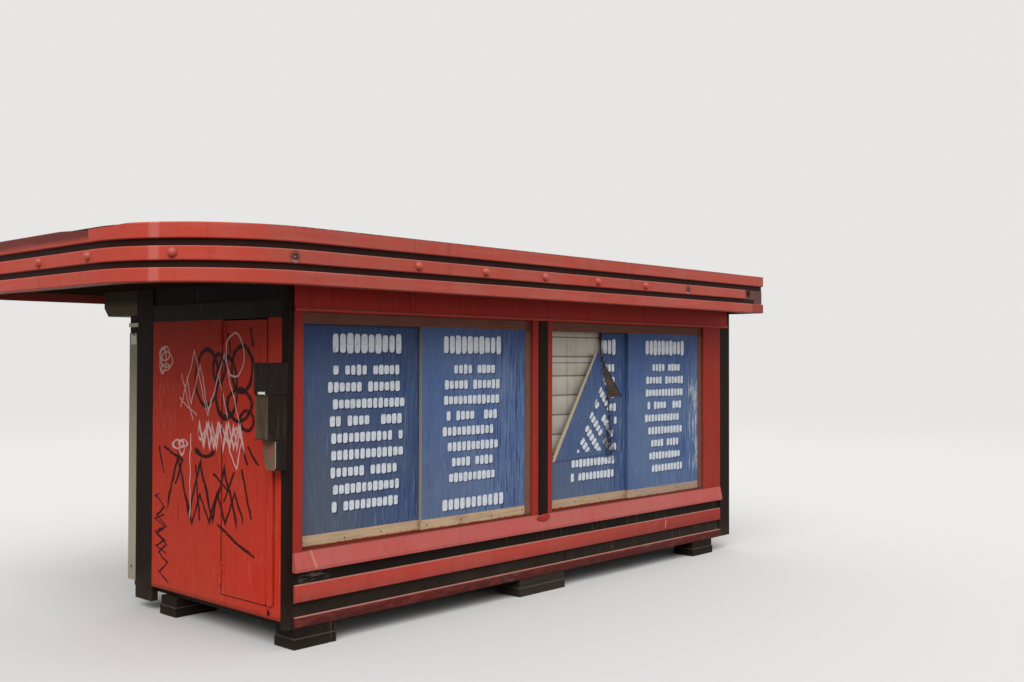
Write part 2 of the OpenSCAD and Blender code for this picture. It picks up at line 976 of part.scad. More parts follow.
// Plate over the far end, with a return that closes the end of the lower groove and lies
// behind the missing stretch of the middle band.
module canopy_end_plate() {
    color("#8d8688")
    placed() {
        difference() {
            slab([body_l - end_plate_t, canopy_y + strip_t, fascia_z],
                [body_l, canopy_back - strip_t, fascia_top - plate_top_gap]);
            slab([body_l - 2 * end_plate_t, post_y, fascia_z - 1],
                [body_l + 1, body_d + shutter_box_d, ceiling_z]);
        }
        slab([body_l - missing_l, canopy_y + strip_t - return_t, fascia_z + middle_strip_z],
            [body_l, canopy_y + strip_t, fascia_z + middle_strip_z + middle_strip_h]);
        slab([body_l - groove_plate_l, canopy_y + strip_t - return_t,
                fascia_z + bottom_strip_h],
            [body_l, canopy_y + strip_t, fascia_z + middle_strip_z]);
    }
}

module fascia_backing() {
    color(black)
    placed()
    canopy_sweep(fascia_z, body_l - end_plate_t, body_l - end_plate_t, joint)
    translate([-skin_t, 0])
    square([backing_t, fascia_h - plate_top_gap]);
}

module fascia_band(z, h, x_street) {
    color(red)
    placed()
    canopy_sweep(fascia_z + z, x_street, body_l, 0)
    translate([-strip_t, 0])
    band_profile(h, strip_t, strip_r);
}

module fascia_band_bottom() {
    fascia_band(0, bottom_strip_h, body_l);
}

module fascia_band_middle() {
    fascia_band(middle_strip_z, middle_strip_h, body_l - missing_l);
}

// Beside the street corner the top edge of this band is worn down along the end.
// Each pair is a distance from the street face and the height lost there.
worn_edge = [[220, 0], [350, 13], [560, 15], [566, 20], [930, 0]];
module fascia_band_top() {
    difference() {
        fascia_band(top_strip_z, top_strip_h, body_l);
        placed()
        along_x(canopy_x - 1, canopy_x + worn_depth)
        polygon(concat(
            [[worn_edge[4][0], fascia_top + 1], [worn_edge[0][0], fascia_top + 1]],
            [for (w = worn_edge) [w[0], fascia_top - w[1]]]
        ));
    }
}

// Domed cap whose flat back lies on the fascia at p and which points along the angle a.
module dome(p, a) {
    ball_r = (cap_r * cap_r + cap_out * cap_out) / (2 * cap_out);
    translate([p[0], p[1], cap_z])
    rotate([0, 90, a])
    intersection() {
        cylinder(r = cap_r, h = cap_out);
        translate([0, 0, cap_out - ball_r])
        sphere(r = ball_r);
    }
}

module fascia_caps() {
    c = [canopy_x + street_corner_r, canopy_y + street_corner_r];
    turn = corner_cap_turn;
    color(red)
    placed() {
        for (i = [0 : street_caps - 1])
            dome([cap_first_x + i * cap_pitch, canopy_y], -90);
        dome(c + street_corner_r * [cos(turn), sin(turn)], turn);
        for (i = [0 : end_caps - 1])
            dome([canopy_x, c[1] + end_cap_y + i * end_cap_pitch], 180);
        for (i = [0 : rear_caps - 1])
            dome([cap_first_x + (i - 1) * cap_pitch, canopy_back], 90);
    }
}

feet();
base_rails();
base_cross_members();
floor_plate();
corner_posts();
front_lower_wall();
front_bands();
front_sill();
front_jambs();
front_mullion();
front_head_beam();
front_header();
board_1();
board_2();
board_3();
board_4();
board_piece();
board_tracks();
front_shutters();
end_wall_front();
end_wall_rear();
door_sill_panel();
door_leaf();
door_hinge_seats();
lock_bar();
lock_box();
end_head_beams();
end_wall_far();
rear_sill();
rear_mullion();
rear_header();
rear_guides();
rear_shutters();
shutter_box();
soffit();
canopy_rim();
roof_joists();
roof_deck();
canopy_end_plate();
fascia_backing();
fascia_band_bottom();
fascia_band_middle();
fascia_band_top();
fascia_caps();
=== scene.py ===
import bpy, bmesh, random
from math import cos, sin, radians, hypot
from mathutils import Matrix, Vector, noise


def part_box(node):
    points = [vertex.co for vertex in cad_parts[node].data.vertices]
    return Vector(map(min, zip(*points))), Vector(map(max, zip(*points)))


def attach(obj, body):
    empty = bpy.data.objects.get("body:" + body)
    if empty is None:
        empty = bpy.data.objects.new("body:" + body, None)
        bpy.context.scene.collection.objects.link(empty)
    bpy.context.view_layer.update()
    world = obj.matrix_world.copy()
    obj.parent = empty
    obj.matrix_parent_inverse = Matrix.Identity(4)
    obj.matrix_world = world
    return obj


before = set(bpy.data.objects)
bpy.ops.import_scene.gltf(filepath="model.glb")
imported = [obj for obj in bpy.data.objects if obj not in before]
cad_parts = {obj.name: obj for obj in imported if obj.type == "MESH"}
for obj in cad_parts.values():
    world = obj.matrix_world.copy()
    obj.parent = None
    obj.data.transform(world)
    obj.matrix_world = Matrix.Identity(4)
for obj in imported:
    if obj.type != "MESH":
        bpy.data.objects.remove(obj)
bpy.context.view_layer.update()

# the near street corner of the cabin, on the pavement
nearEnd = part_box("corner_posts")[0][0]
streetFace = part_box("front_jambs")[0][1]
scene = bpy.context.scene
chance = random.Random(12)


def at(x, y, z):
    # millimetres from that corner: along the cabin, away from the street, up
    return Vector((nearEnd + x / 1000, streetFace + y / 1000, z / 1000))


def tint(red, green, blue):
    # a colour as a picture shows it, 0 to 255, made linear
    return tuple((c / 255 / 12.92) if c <= 10 else ((c / 255 + 0.055) / 1.055) ** 2.4
                 for c in (red, green, blue)) + (1.0,)


def show(name, data):
    thing = bpy.data.objects.new(name, data)
    scene.collection.objects.link(thing)
    return thing


# ---- shader maths: sockets that add and multiply like numbers

def maths(operation):
    # a method that works out one step of the shader maths
    return lambda wire, *others: wire.calc(operation, *others)


class Wire:
    def __init__(self, kit, socket):
        self.kit, self.socket = kit, socket

    def calc(self, operation, *others):
        return self.kit.make("Math", {"operation": operation}, (self,) + others)

    __add__, __sub__, __mul__, __truediv__ = map(maths, ("ADD", "SUBTRACT", "MULTIPLY", "DIVIDE"))
    __abs__, floor, most, least = map(maths, ("ABSOLUTE", "FLOOR", "MAXIMUM", "MINIMUM"))

    def __rsub__(self, other):
        return self.kit.make("Math", {"operation": "SUBTRACT"}, (other, self))

    def rise(self, low, high):
        # 0 at low and 1 at high, whichever of the two is the greater
        return self.kit.make("MapRange", {"interpolation_type": "SMOOTHSTEP"},
                             {"Value": self, "From Min": low, "From Max": high})

    def fourth(self):
        square = self * self
        return square * square

    def shuffle(self):
        # a number from 0 to 1 that jumps with each step of this one
        wave = self.calc("SINE") * 43758.5
        return wave - wave.floor()


def away(u, v):
    # how far the point u, v lies from zero
    return (u * u + v * v).calc("SQRT")


def reach(u, v, centre, radii):
    # 1 on the ellipse, 0 at its centre
    return away((u - centre[0]) / radii[0], (v - centre[1]) / radii[1])


def union(masks):
    shown = masks[0]
    for mask in masks[1:]:
        shown = shown.most(mask)
    return shown


class Nodes:
    # a node tree whose nodes are made, set and fed in one call
    def __init__(self, tree):
        self.tree = tree

    def feed(self, socket, value):
        if isinstance(value, Wire):
            self.tree.links.new(value.socket, socket)
        else:
            socket.default_value = value

    def make(self, kind, settings={}, inputs={}, output=0):
        node = self.tree.nodes.new("ShaderNode" + kind)
        for key, value in settings.items():
            setattr(node, key, value)
        for key, value in inputs.items() if isinstance(inputs, dict) else enumerate(inputs):
            self.feed(node.inputs[key], value)
        return Wire(self, node.outputs[output])

    def parts(self, vector):
        node = self.make("SeparateXYZ", inputs=(vector,)).socket.node
        return [Wire(self, socket) for socket in node.outputs]


class Kit(Nodes):
    # one material, its places in metres from the near street corner
    height = None

    def __init__(self, name):
        self.material = bpy.data.materials.new(name)
        self.material.use_nodes = True
        super().__init__(self.material.node_tree)
        self.shader = self.tree.nodes["Principled BSDF"]
        self.place = self.make("TexCoord", output="Object")
        x, y, z = self.parts(self.place)
        self.x, self.y, self.z = x - nearEnd, y - streetFace, z
        facing = self.parts(self.make("TexCoord", output="Normal"))
        self.west, self.up = facing[0].rise(-0.5, -0.9), facing[2]

    def noise(self, scale, detail=3.0, rough=0.55, stretch=(1, 1, 1), shift=0.0):
        spread = self.make("Mapping", inputs={
            "Vector": self.place, "Scale": stretch, "Location": (shift, shift * 0.7, shift * 0.3)})
        return self.make("TexNoise", inputs={
            "Vector": spread, "Scale": scale, "Detail": detail, "Roughness": rough})

    def streaks(self, stretch, low, high, shift=0.0, detail=5.0, rough=0.7):
        # marks that are longest along the side with the smallest stretch
        return self.noise(1.0, detail, rough, stretch, shift).rise(low, high)

    def blend(self, factor, first, second):
        # each colour is a wire or three numbers, 0 to 255
        first, second = [c if isinstance(c, Wire) else tint(*c) for c in (first, second)]
        return self.make("Mix", {"data_type": "RGBA"}, {0: factor, 6: first, 7: second}, 2)

    def over(self, amount, tone):
        # lays a tone over the colour so far
        self.colour = self.blend(amount, self.colour, tone)

    def inside(self, value, low, high, soft=0.004):
        return value.rise(low - soft, low + soft) * value.rise(high + soft, high - soft)

    def spot(self, u, v, centre, radii, soft=0.5):
        # 1 inside an ellipse, 0 past its soft rim
        return reach(u, v, centre, radii).rise(1 + soft, 1 - soft)

    def ring(self, u, v, centre, radii, width):
        gap = abs(reach(u, v, centre, radii) - 1) * min(radii)
        return gap.rise(width, width * 0.55)

    def line(self, u, v, start, end, width):
        du, dv = end[0] - start[0], end[1] - start[1]
        length = hypot(du, dv)
        du, dv = du / length, dv / length
        u, v = u - start[0], v - start[1]
        along = (u * du + v * dv).most(0.0).least(length)
        return away(u - along * du, v - along * dv).rise(width, width * 0.55)

    def zigzag(self, u, v, span, middle, swing, pitch, width, slope):
        # up and down by the swing about a middle line, over the span of u
        fold = (u - span[0] + 10 * pitch).calc("PINGPONG", pitch / 2)
        path = fold * (4 * swing / pitch) + (u - span[0]) * slope + (middle - swing)
        steep = hypot(1, 4 * swing / pitch)
        return (abs(v - path) / steep).rise(width, width * 0.55) * self.inside(u, *span, width)

    def finish(self, depth=0.0015, shine=0.06):
        pairs = {"Base Color": self.colour, "Roughness": self.rough, "Specular IOR Level": shine}
        if self.height is not None:
            pairs["Normal"] = self.make("Bump", inputs={
                "Height": self.height, "Distance": depth, "Strength": 0.6})
        for key, value in pairs.items():
            self.feed(self.shader.inputs[key], value)
        return self.material


# ---- camera, floor and light
print("camera, floor and light")
view = {"place": (-3746.7, -5202.1, 1686.5), "turn": (90.902, -0.142, -47.306), "lens": 38.438}
studio = {"floor": (188, 187, 185), "fleck": (176, 173, 168), "bounce": (100, 90, 80),
          "radius": 60.0, "fade": (8.0, 26.0), "backdrop": (231, 230, 228),
          "sky": 0.68, "skyColour": (0.97, 0.985, 1.0, 1.0)}
suns = {"key": ((-0.72, -0.6, 1.0), 3.0, 50), "fill": ((0.8, -0.9, 0.9), 0.95, 90),
        "rear": ((0.5, 1.0, 0.9), 0.8, 90)}  # where it comes from, strength, width in degrees

camera = show("camera", bpy.data.cameras.new("camera"))
camera.location = at(*view["place"])
camera.rotation_euler = [radians(turn) for turn in view["turn"]]
camera.data.lens = view["lens"]
scene.camera = camera
scene.view_settings.view_transform = "Standard"

shape = bmesh.new()
bmesh.ops.create_circle(shape, cap_ends=True, segments=96, radius=studio["radius"])
floorData = bpy.data.meshes.new("floor")
shape.to_mesh(floorData)
shape.free()
floor = show("floor", floorData)


def shownRay(kit):
    # 1 for what the camera sees, itself or by reflection or through glass
    return union([kit.make("LightPath", output="Is %s Ray" % ray)
                  for ray in ("Camera", "Glossy", "Transmission")])


def floorFinish():
    # pale, and clear towards the horizon
    kit = Kit("floorPale")
    pale = kit.blend(kit.noise(14.0, 4.0, 0.6) * 0.12, studio["floor"], studio["fleck"])
    kit.colour, kit.rough = kit.blend(shownRay(kit), studio["bounce"], pale), 0.9
    kit.finish()
    far = kit.make("VectorMath", {"operation": "LENGTH"}, (kit.place,), "Value")
    both = kit.make("MixShader", inputs={
        0: far.rise(*studio["fade"]), 1: Wire(kit, kit.shader.outputs[0]),
        2: kit.make("BsdfTransparent")})
    kit.feed(kit.tree.nodes["Material Output"].inputs["Surface"], both)
    return kit.material


floorData.materials.append(floorFinish())

scene.world = bpy.data.worlds.new("studio")
scene.world.use_nodes = True
sky = Nodes(scene.world.node_tree)
light = sky.tree.nodes["Background"]
light.inputs["Color"].default_value = studio["skyColour"]
light.inputs["Strength"].default_value = studio["sky"]
backdrop = sky.make("Background", inputs={"Color": tint(*studio["backdrop"])})
both = sky.make("MixShader", inputs={0: shownRay(sky), 1: Wire(sky, light.outputs[0]),
                                     2: backdrop})
sky.feed(sky.tree.nodes["World Output"].inputs["Surface"], both)

for name, (source, strength, width) in suns.items():
    lamp = bpy.data.lights.new(name, "SUN")
    lamp.energy, lamp.angle = strength, radians(width)
    show(name, lamp).rotation_euler = Vector(source).to_track_quat("Z", "Y").to_euler()

# ---- paint: fade, runs and dirt are strengths, splash is the height that dirt reaches, and
# paint is chipped off more where chips is lower
print("paint")
redPaint = {
    "fresh": (188, 50, 34), "faded": (180, 62, 46), "dark": (140, 34, 24), "dustAndSheen": (136, 106, 90),
    "bare": (72, 30, 22), "fade": 0.5, "runs": 0.3, "splash": 0.3, "dirt": 0.25, "chips": 0.86,
    "rough": 0.45, "seed": 0.0}
blackPaint = {
    "fresh": (26, 15, 11), "faded": (34, 22, 17), "dark": (15, 10, 8), "dustAndSheen": (84, 74, 62),
    "bare": (80, 46, 30), "fade": 0.5, "runs": 0.3, "splash": 0.35, "dirt": 0.35, "chips": 0.85,
    "rough": 0.5, "seed": 4.0}


def enamel(name, look, changes={}):
    # brushed paint on sheet steel: clouds, fading, runs, dust and a painted sheen on upward faces,
    # splashes low down
    look = {**look, **changes}
    kit = Kit(name)
    cloud = kit.noise(1.3, 4, 0.6, shift=look["seed"])
    patch = kit.noise(5, 5, 0.65, shift=3 + look["seed"])
    grain = kit.noise(90, 3, 0.6)
    runs = kit.noise(3, 4, 0.6, stretch=(6, 6, 0.35), shift=1.7)
    kit.colour = kit.blend(cloud.rise(0.3, 0.7) * look["fade"], look["fresh"], look["faded"])
    kit.over(patch.rise(0.45, 0.8) * look["fade"], look["faded"])
    kit.over(runs.rise(0.5, 0.78) * look["runs"], look["dark"])
    kit.over(grain.rise(0.35, 0.75) * 0.15, look["dark"])
    # upward faces take the dust tone: real dust, and a painted highlight where their edges catch
    # the light
    dustAndSheen = kit.up.rise(0.25, 0.85) * (patch * 0.6 + 0.4)
    low = kit.z.rise(look["splash"], 0.02) * (patch.rise(0.25, 0.7) * 0.7 + 0.3)
    kit.over(dustAndSheen.most(low * look["dirt"]), look["dustAndSheen"])
    chips = kit.noise(38, 4, 0.7, shift=9) + patch * 0.25
    chips = chips.rise(look["chips"], look["chips"] + 0.03)
    kit.over(chips, look["bare"])
    kit.rough = cloud * 0.15 + grain * 0.1 + look["rough"]
    kit.height = grain * 0.15 + patch * 0.35 + cloud * 4 - chips * 0.3
    kit.patch = patch
    return kit


# ---- end wall and door, with sprayed marks that run over both; places are y, z in metres
wallJoints = [((0.206, 0.69), (0.2285, 0.2355, 0.0015)), ((0.6865, 0.6925, 0.0012), (0.23, 1.92)),
              ((0.128, 0.137, 0.002), (0.235, 1.042)), ((0.2125, 0.216, 0.0012), (0.23, 1.92))]
farLaps = [(0.69, 0.696, 0.002), (1.18, 1.186, 0.002)]
blackSpray = {
    "tone": (26, 12, 14), "width": 0.015, "lineWidth": 0.012,
    "loops": [
        ((0.86, 1.56), (0.13, 0.17)), ((0.64, 1.5), (0.12, 0.19)), ((0.47, 1.62), (0.11, 0.14)),
        ((0.5, 1.4), (0.13, 0.1)), ((0.42, 1.3), (0.07, 0.06)), ((0.72, 1.62), (0.07, 0.09))],
    "lines": [
        ((0.46, 1.13), (0.41, 1.04)), ((0.4, 1.15), (0.3, 1.05)), ((1.43, 1.09), (1.37, 0.93)),
        ((0.47, 1), (0.36, 0.72)), ((0.72, 0.66), (0.55, 0.57)), ((0.55, 0.57), (0.33, 0.5)),
        ((0.62, 1.83), (0.6, 1.72)), ((0.38, 1.86), (0.36, 1.76)), ((1.36, 1.1), (1.14, 1.02)),
        ((1.14, 1.02), (1.22, 0.86)), ((0.98, 1), (0.93, 0.66)), ((0.78, 0.96), (0.62, 0.88)),
        ((0.56, 0.98), (0.66, 0.8))],
    # span, middle, swing, pitch, width, slope
    "zigzags": [
        ((0.52, 1.32), 0.83, 0.17, 0.27, 0.015, 0.05),
        ((0.45, 1.1), 0.78, 0.09, 0.19, 0.012, -0.1)],
    "uprights": [
        ((0.22, 0.78), 1.36, 0.055, 0.12, 0.009, 0.1),
        ((0.4, 0.66), 1.4, 0.06, 0.085, 0.0075, 0.1)]}
whiteSpray = {
    "tone": (216, 186, 182), "width": 0.0055, "lineWidth": 0.0055,
    "loops": [
        ((1.37, 1.71), (0.06, 0.04)), ((1.34, 1.67), (0.07, 0.05)), ((1.39, 1.66), (0.035, 0.08)),
        ((1.36, 1.62), (0.05, 0.025)), ((1.19, 1.12), (0.065, 0.028)), ((1.15, 1.1), (0.03, 0.05)),
        ((1.13, 1.13), (0.055, 0.024)), ((0.55, 1.7), (0.1, 0.13))],
    "lines": [
        ((1.04, 1.205), (1.05, 0.668)), ((0.47, 1.18), (0.53, 1)), ((0.53, 1), (0.6, 1.12)),
        ((1.18, 1.42), (0.98, 1.32)), ((1.16, 1.58), (1.02, 1.28))],
    "zigzags": [
        ((0.5, 1.17), 1.5, 0.2, 0.34, 0.0055, 0.06), ((0.62, 1.1), 1.44, 0.13, 0.21, 0.0055, 0.2),
        ((0.45, 0.95), 1.2, 0.075, 0.11, 0.00825, 0),
        ((0.45, 0.95), 1.195, 0.07, 0.075, 0.00825, 0),
        ((0.45, 0.95), 1.21, 0.05, 0.16, 0.00825, 0)],
    "uprights": []}


def strokes(kit, y, z, spray):
    shown = [kit.ring(y, z, *loop, spray["width"]) for loop in spray["loops"]]
    shown += [kit.line(y, z, *ends, spray["lineWidth"]) for ends in spray["lines"]]
    shown += [kit.zigzag(y, z, *fold) for fold in spray["zigzags"]]
    shown += [kit.zigzag(z, y, *fold) for fold in spray["uprights"]]
    return union(shown)


def wallFinish():
    kit = enamel("wallRed", redPaint, {"fade": 0.75, "runs": 0.4})
    y, z = kit.y, kit.z
    # scuffed patches, pale scrapes, dark stains, painted shade under the canopy, a dull foot
    kit.over(kit.streaks((9, 14, 5), 0.56, 0.68, 13, 6, 0.75) * 0.35, (196, 92, 72))
    kit.over(kit.streaks((20, 90, 4), 0.6, 0.7, 9) * 0.3, (206, 120, 100))
    kit.over(kit.streaks((12, 18, 3), 0.58, 0.72, 15) * 0.4, (110, 30, 22))
    # painted shade: darker towards the top, where the canopy shades the wall
    kit.over(z.rise(1.5, 2) * 0.38, (96, 24, 16))
    kit.over(z.rise(0.2, 0.165) * (kit.patch * 0.7 + 0.3), (96, 44, 36))
    # open joints round the door and beside the flat bar, lapped sheets on the far wall
    farSide = kit.x.rise(4.7, 4.72)
    gaps = union([kit.inside(y, *across) * kit.inside(z, *up) for across, up in wallJoints])
    laps = union([kit.inside(y, *across) for across in farLaps])
    kit.over((gaps * (1 - farSide)).most(laps * farSide) * 0.75, (48, 18, 14))
    wash = kit.streaks((8, 12, 0.9), 0.42, 0.7, 11)
    kit.over(farSide * (wash * 0.5 + 0.25), (120, 44, 34))
    # the marks lie in the end wall's face only, a little shaky
    shakeY, shakeZ = [(kit.noise(7, 2, 0.5, shift=shift) - 0.5) * 0.05 for shift in (2, 8)]
    y, z = y + shakeY, z + shakeZ
    face = kit.x.rise(0.004, 0.001) * kit.west
    smear = kit.spot(y, z, (1.33, 1.36), (0.14, 0.18), 0.4)
    smear = smear * kit.streaks((10, 60, 7), 0.5, 0.7, detail=4)
    kit.over(smear * face * 0.85, (190, 112, 98))
    drips = kit.streaks((1, 60, 2), 0.66, 0.7, 5, 1, 0.4)
    drips = drips * kit.inside(y, 0.5, 1.3, 0.02) * kit.inside(z, 0.62, 0.76, 0.03)
    arc = kit.ring(y, z, (0.885, 1.11), (0.1, 0.05), blackSpray["width"])
    black = union([strokes(kit, y, z, blackSpray), arc * z.rise(1.12, 1.1), drips * 0.8,
                   kit.spot(y, z, (0.179, 0.193), (0.012, 0.02), 0.3)])
    thick = kit.noise(30, 3, 0.6, shift=4).rise(0.3, 0.45) * 0.25 + 0.72
    kit.over(black * face * thick, blackSpray["tone"])
    white = strokes(kit, y, z, whiteSpray)
    kit.over(white * face * 0.8, whiteSpray["tone"])
    kit.rough = kit.rough - white * 0.1
    return kit.finish()


# ---- street side
bandPaint = {**redPaint, "fresh": (176, 60, 50), "faded": (172, 78, 68), "dark": (116, 34, 28),
             "dustAndSheen": (150, 122, 112), "fade": 0.7, "seed": 2, "dirt": 0.4, "splash": 0.42}


def bandFinish(name, changes={}, grime=0):
    # bands, sill and jambs: chalky red, dull and dark towards the pavement
    kit = enamel(name, bandPaint, changes)
    x, z = kit.x, kit.z
    soil = kit.noise(9, 5, 0.7, stretch=(0.5, 1, 1.5), shift=6)
    sides = kit.up.rise(0.9, 0.4) * grime
    kit.over(z.rise(0.36, 0.13) * sides * (soil.rise(0.2, 0.6) * 0.4 + 0.6), (58, 22, 20))
    kit.over(z.rise(0.3, 0.2) * soil.rise(0.5, 0.66) * sides * 0.6, (104, 82, 76))
    kit.over(x.rise(1.5, 4.5) * z.rise(0.5, 0.3) * sides * 0.4, (82, 36, 34))
    kit.over(kit.streaks((7, 30, 60), 0.62, 0.74, 3) * 0.4, (180, 124, 116))
    # where the jambs stand on the sill, the sill's mitre, and a scratch
    kit.over(kit.inside(z, 0.5595, 0.5625, 0.002) * 0.6, (84, 22, 18))
    kit.over(kit.line(x, z, (0.165, 0.555), (0.19, 0.462), 0.01) * 0.3, (206, 150, 140))
    kit.over(kit.line(x, z, (3.774, 0.352), (3.764, 0.298), 0.007) * 0.6, (204, 170, 158))
    kit.rough, kit.height = kit.rough + 0.08, kit.height + soil * 0.2
    return kit.finish()


def headerFinish():
    # runs down its face, and a paler ledge
    kit = enamel("headerRed", redPaint, {
        "fresh": (174, 47, 40), "faded": (172, 58, 50), "seed": 7.0})
    kit.over(kit.streaks((26, 4, 1.4), 0.5, 0.75, 4, 4, 0.65) * 0.45, (98, 24, 18))
    kit.over(kit.y.rise(-0.011, -0.013) * 0.5, (186, 84, 74))
    return kit.finish()


def lowerWallFinish():
    # black steps between the bands: scuffed pale at the near end, two joints, dry moss
    kit = enamel("lowerWallBlack", blackPaint, {"fresh": (30, 24, 21)})
    x, z = kit.x, kit.z
    near = kit.inside(x, 0.11, 0.3, 0.04) * kit.inside(z, 0.375, 0.44, 0.012)
    smudge = kit.streaks((16, 10, 70), 0.44, 0.62, 5, rough=0.75)
    kit.over(near * smudge * 0.8, (112, 108, 98))
    joints = kit.inside(x, 2.5, 2.514, 0.003) * z.rise(0.27, 0.26)
    joints = joints.most(kit.inside(x, 3.106, 3.114, 0.002) * z.rise(0.36, 0.37))
    kit.over(joints * 0.8, (10, 8, 8))
    moss = kit.streaks((30, 10, 6), 0.52, 0.72, 2)
    kit.over(moss * x.rise(0.8, 3) * 0.7, (72, 68, 54))
    return kit.finish()


def feetFinish():
    kit = enamel("feetBlack", blackPaint, {
        "fresh": (24, 20, 16), "dustAndSheen": (52, 46, 40), "dirt": 0.15})
    x, z = kit.x, kit.z
    mud = z.rise(0.07, 0) * (kit.patch.rise(0.25, 0.7) * 0.6 + 0.1)
    kit.over(mud * 0.3, (66, 57, 47))
    kit.over(kit.inside(x, 1.8, 2.8, 0.1) * 0.45, (62, 55, 49))
    drips = kit.streaks((110, 1, 1.2), 0.52, 0.66, 3, 3, 0.5)
    drips = drips * kit.inside(x, 0.3, 0.38, 0.01)
    ledge = kit.inside(z, 0.058, 0.064, 0.002) * 0.25
    kit.over(ledge.most(drips * 0.7), (120, 114, 104))
    return kit.finish(0.002)


# ---- canopy; the middles and radii of the rim's two round corners, and the caps that are lost
fasciaPaint = {**redPaint, "fresh": (168, 55, 44), "faded": (158, 68, 60), "dark": (130, 42, 34),
               "fade": 0.6, "seed": 5, "splash": 0.01, "rough": 0.36}
streetCorner, rearCorner = ((-75, 520), 818), ((-500, 2185), 393)
lostCaps = [(-193, -322, 2237), (3603, -330, 2241)]


def fasciaFinish():
    kit = enamel("fasciaRed", fasciaPaint)
    x, y, z = kit.x, kit.y, kit.z
    # painted light: the end side is made redder and brighter, as where light falls from that side
    kit.over(x.rise(-0.2, -0.8) * 0.45, (192, 62, 44))
    # the upper half of the top band beyond the corner is darker
    worn = kit.noise(6, 5, 0.7, stretch=(1, 0.4, 2), shift=1) * 0.03
    darkerUpper = y.rise(0.562, 0.566) * x.rise(-0.85, -0.86) * (z + worn).rise(2.33, 2.375)
    kit.over(darkerUpper * 0.9, (84, 26, 20))
    # painted highlight: a pale stripe across the bands on the street corner
    midX, midY = streetCorner[0]
    turn = (y - midY / 1000).calc("ARCTAN2", x - midX / 1000)
    cornerHighlight = kit.inside(turn, radians(-151), radians(-147), 0.012)
    kit.over(cornerHighlight * 0.28 * x.rise(-0.4, -0.5), (206, 134, 124))
    kit.over(kit.streaks((16, 16, 1.2), 0.55, 0.75, 7, 4) * 0.4, (126, 40, 34))
    # painted sheen: broad paler bands along the fascia
    kit.over(kit.streaks((1.6, 1.6, 30), 0.5, 0.75, 4, 3, 0.6) * 0.3, (180, 94, 88))
    # ragged dark line along the top edge of the street side, dull far end
    ragged = kit.noise(1, 5, 0.8, stretch=(40, 40, 10), shift=2.5)
    edge = (z + ragged * 0.034).rise(2.41, 2.417) * kit.inside(x, -0.3, 4.3, 0.2)
    kit.over(edge * 0.8, (52, 22, 18))
    kit.over(x.rise(4.585, 4.6) * z.rise(2.17, 2.165) * 0.55, (98, 32, 26))
    # rust and a pale drip where a cap is lost
    grit = kit.noise(60, 4, 0.8, shift=3).rise(0.4, 0.6)
    for cap in lostCaps:
        capX, capY, capZ = [side / 1000 for side in cap]
        side = away(x - capX, y - capY)
        rust = (away(side, z - capZ) + grit * 0.02).rise(0.052, 0.03)
        kit.over(rust * (grit * 0.5 + 0.5), (78, 44, 40))
        drip = side.rise(0.016, 0.006) * kit.inside(z, 2.19, 2.237, 0.01)
        kit.over(drip * grit * 0.8, (158, 150, 162))
    return kit.finish(shine=0.1)


def plateFinish():
    # the plate behind the lost end of the middle band, with a torn hole
    kit = enamel("mauvePlate", blackPaint, {
        "fresh": (90, 62, 57), "faded": (100, 75, 70), "dark": (72, 42, 36), "dustAndSheen": (96, 78, 70)})
    torn = kit.noise(24, 4, 0.7) * 0.4
    hole = away((kit.x - 4.553) / 0.024, (kit.z - 2.247) / 0.03) + torn
    kit.over(hole.rise(1.9, 1.3), (98, 48, 34))
    kit.over(hole.rise(1.25, 1), (26, 12, 9))
    kit.over(kit.noise(12, 5, 0.75, shift=2).rise(0.56, 0.7) * 0.5, (108, 56, 40))
    kit.rough, kit.height = kit.rough + 0.1, kit.height - hole.rise(1.25, 1)
    return kit.finish(0.002)


def roofFinish():
    # grey coating over old sheets, darker along the edges with damp stains and painted shade under
    # the rim, and stained under the seams
    kit = enamel("roofGrey", blackPaint, {
        "fresh": (104, 100, 94), "faded": (122, 116, 106), "dark": (76, 66, 56),
        "dustAndSheen": (112, 104, 94), "bare": (104, 62, 42), "chips": 0.8, "rough": 0.65})
    x, y = kit.x, kit.y
    damp = kit.noise(1.1, 6, 0.7, shift=5)
    kit.over(damp.rise(0.42, 0.62) * 0.7, (74, 68, 60))
    # darker along the edges: damp stains, and painted shade where the rim stands up
    edge = union([x.rise(-0.72, -0.88), y.rise(-0.12, -0.29), y.rise(2.4, 2.57),
                  x.rise(4.6, 4.76)])
    kit.over(edge * (damp * 0.8 + 0.2), (58, 50, 42))
    kit.over(kit.noise(3.5, 6, 0.75, shift=8).rise(0.56, 0.68) * 0.7, (112, 68, 46))
    kit.over(abs(damp - 0.47).rise(0.012, 0) * 0.4, (146, 140, 130))
    kit.height = kit.height + damp
    return kit.finish(0.003)


def casingFinish():
    # shutter casing, pale below, with painted shade on its upper part under the canopy
    kit = enamel("casingGrey", blackPaint, {
        "fresh": (100, 90, 73), "faded": (114, 104, 87), "dark": (60, 50, 38)})
    kit.over((kit.z + kit.patch * 0.03).rise(2.03, 2.1) * 0.8, (30, 24, 19))
    return kit.finish()


# ---- boards; a tall row is its middle, its height and the pitch of its blocks
boardPaint = {
    "blue": (66, 90, 136), "grey": (94, 112, 142), "worn": (92, 98, 110), "deep": (26, 36, 74),
    "white": (202, 207, 214), "shade": (22, 26, 58), "shadeStep": 0.007,
    "rowTop": 1.612, "rowStep": 0.103, "rowHeight": 0.061, "rows": 9, "half": 0.285,
    "ragged": 0.07, "pitch": 0.0445, "gaps": 0.07, "talls": [(1.775, 0.118, 0.056)]}


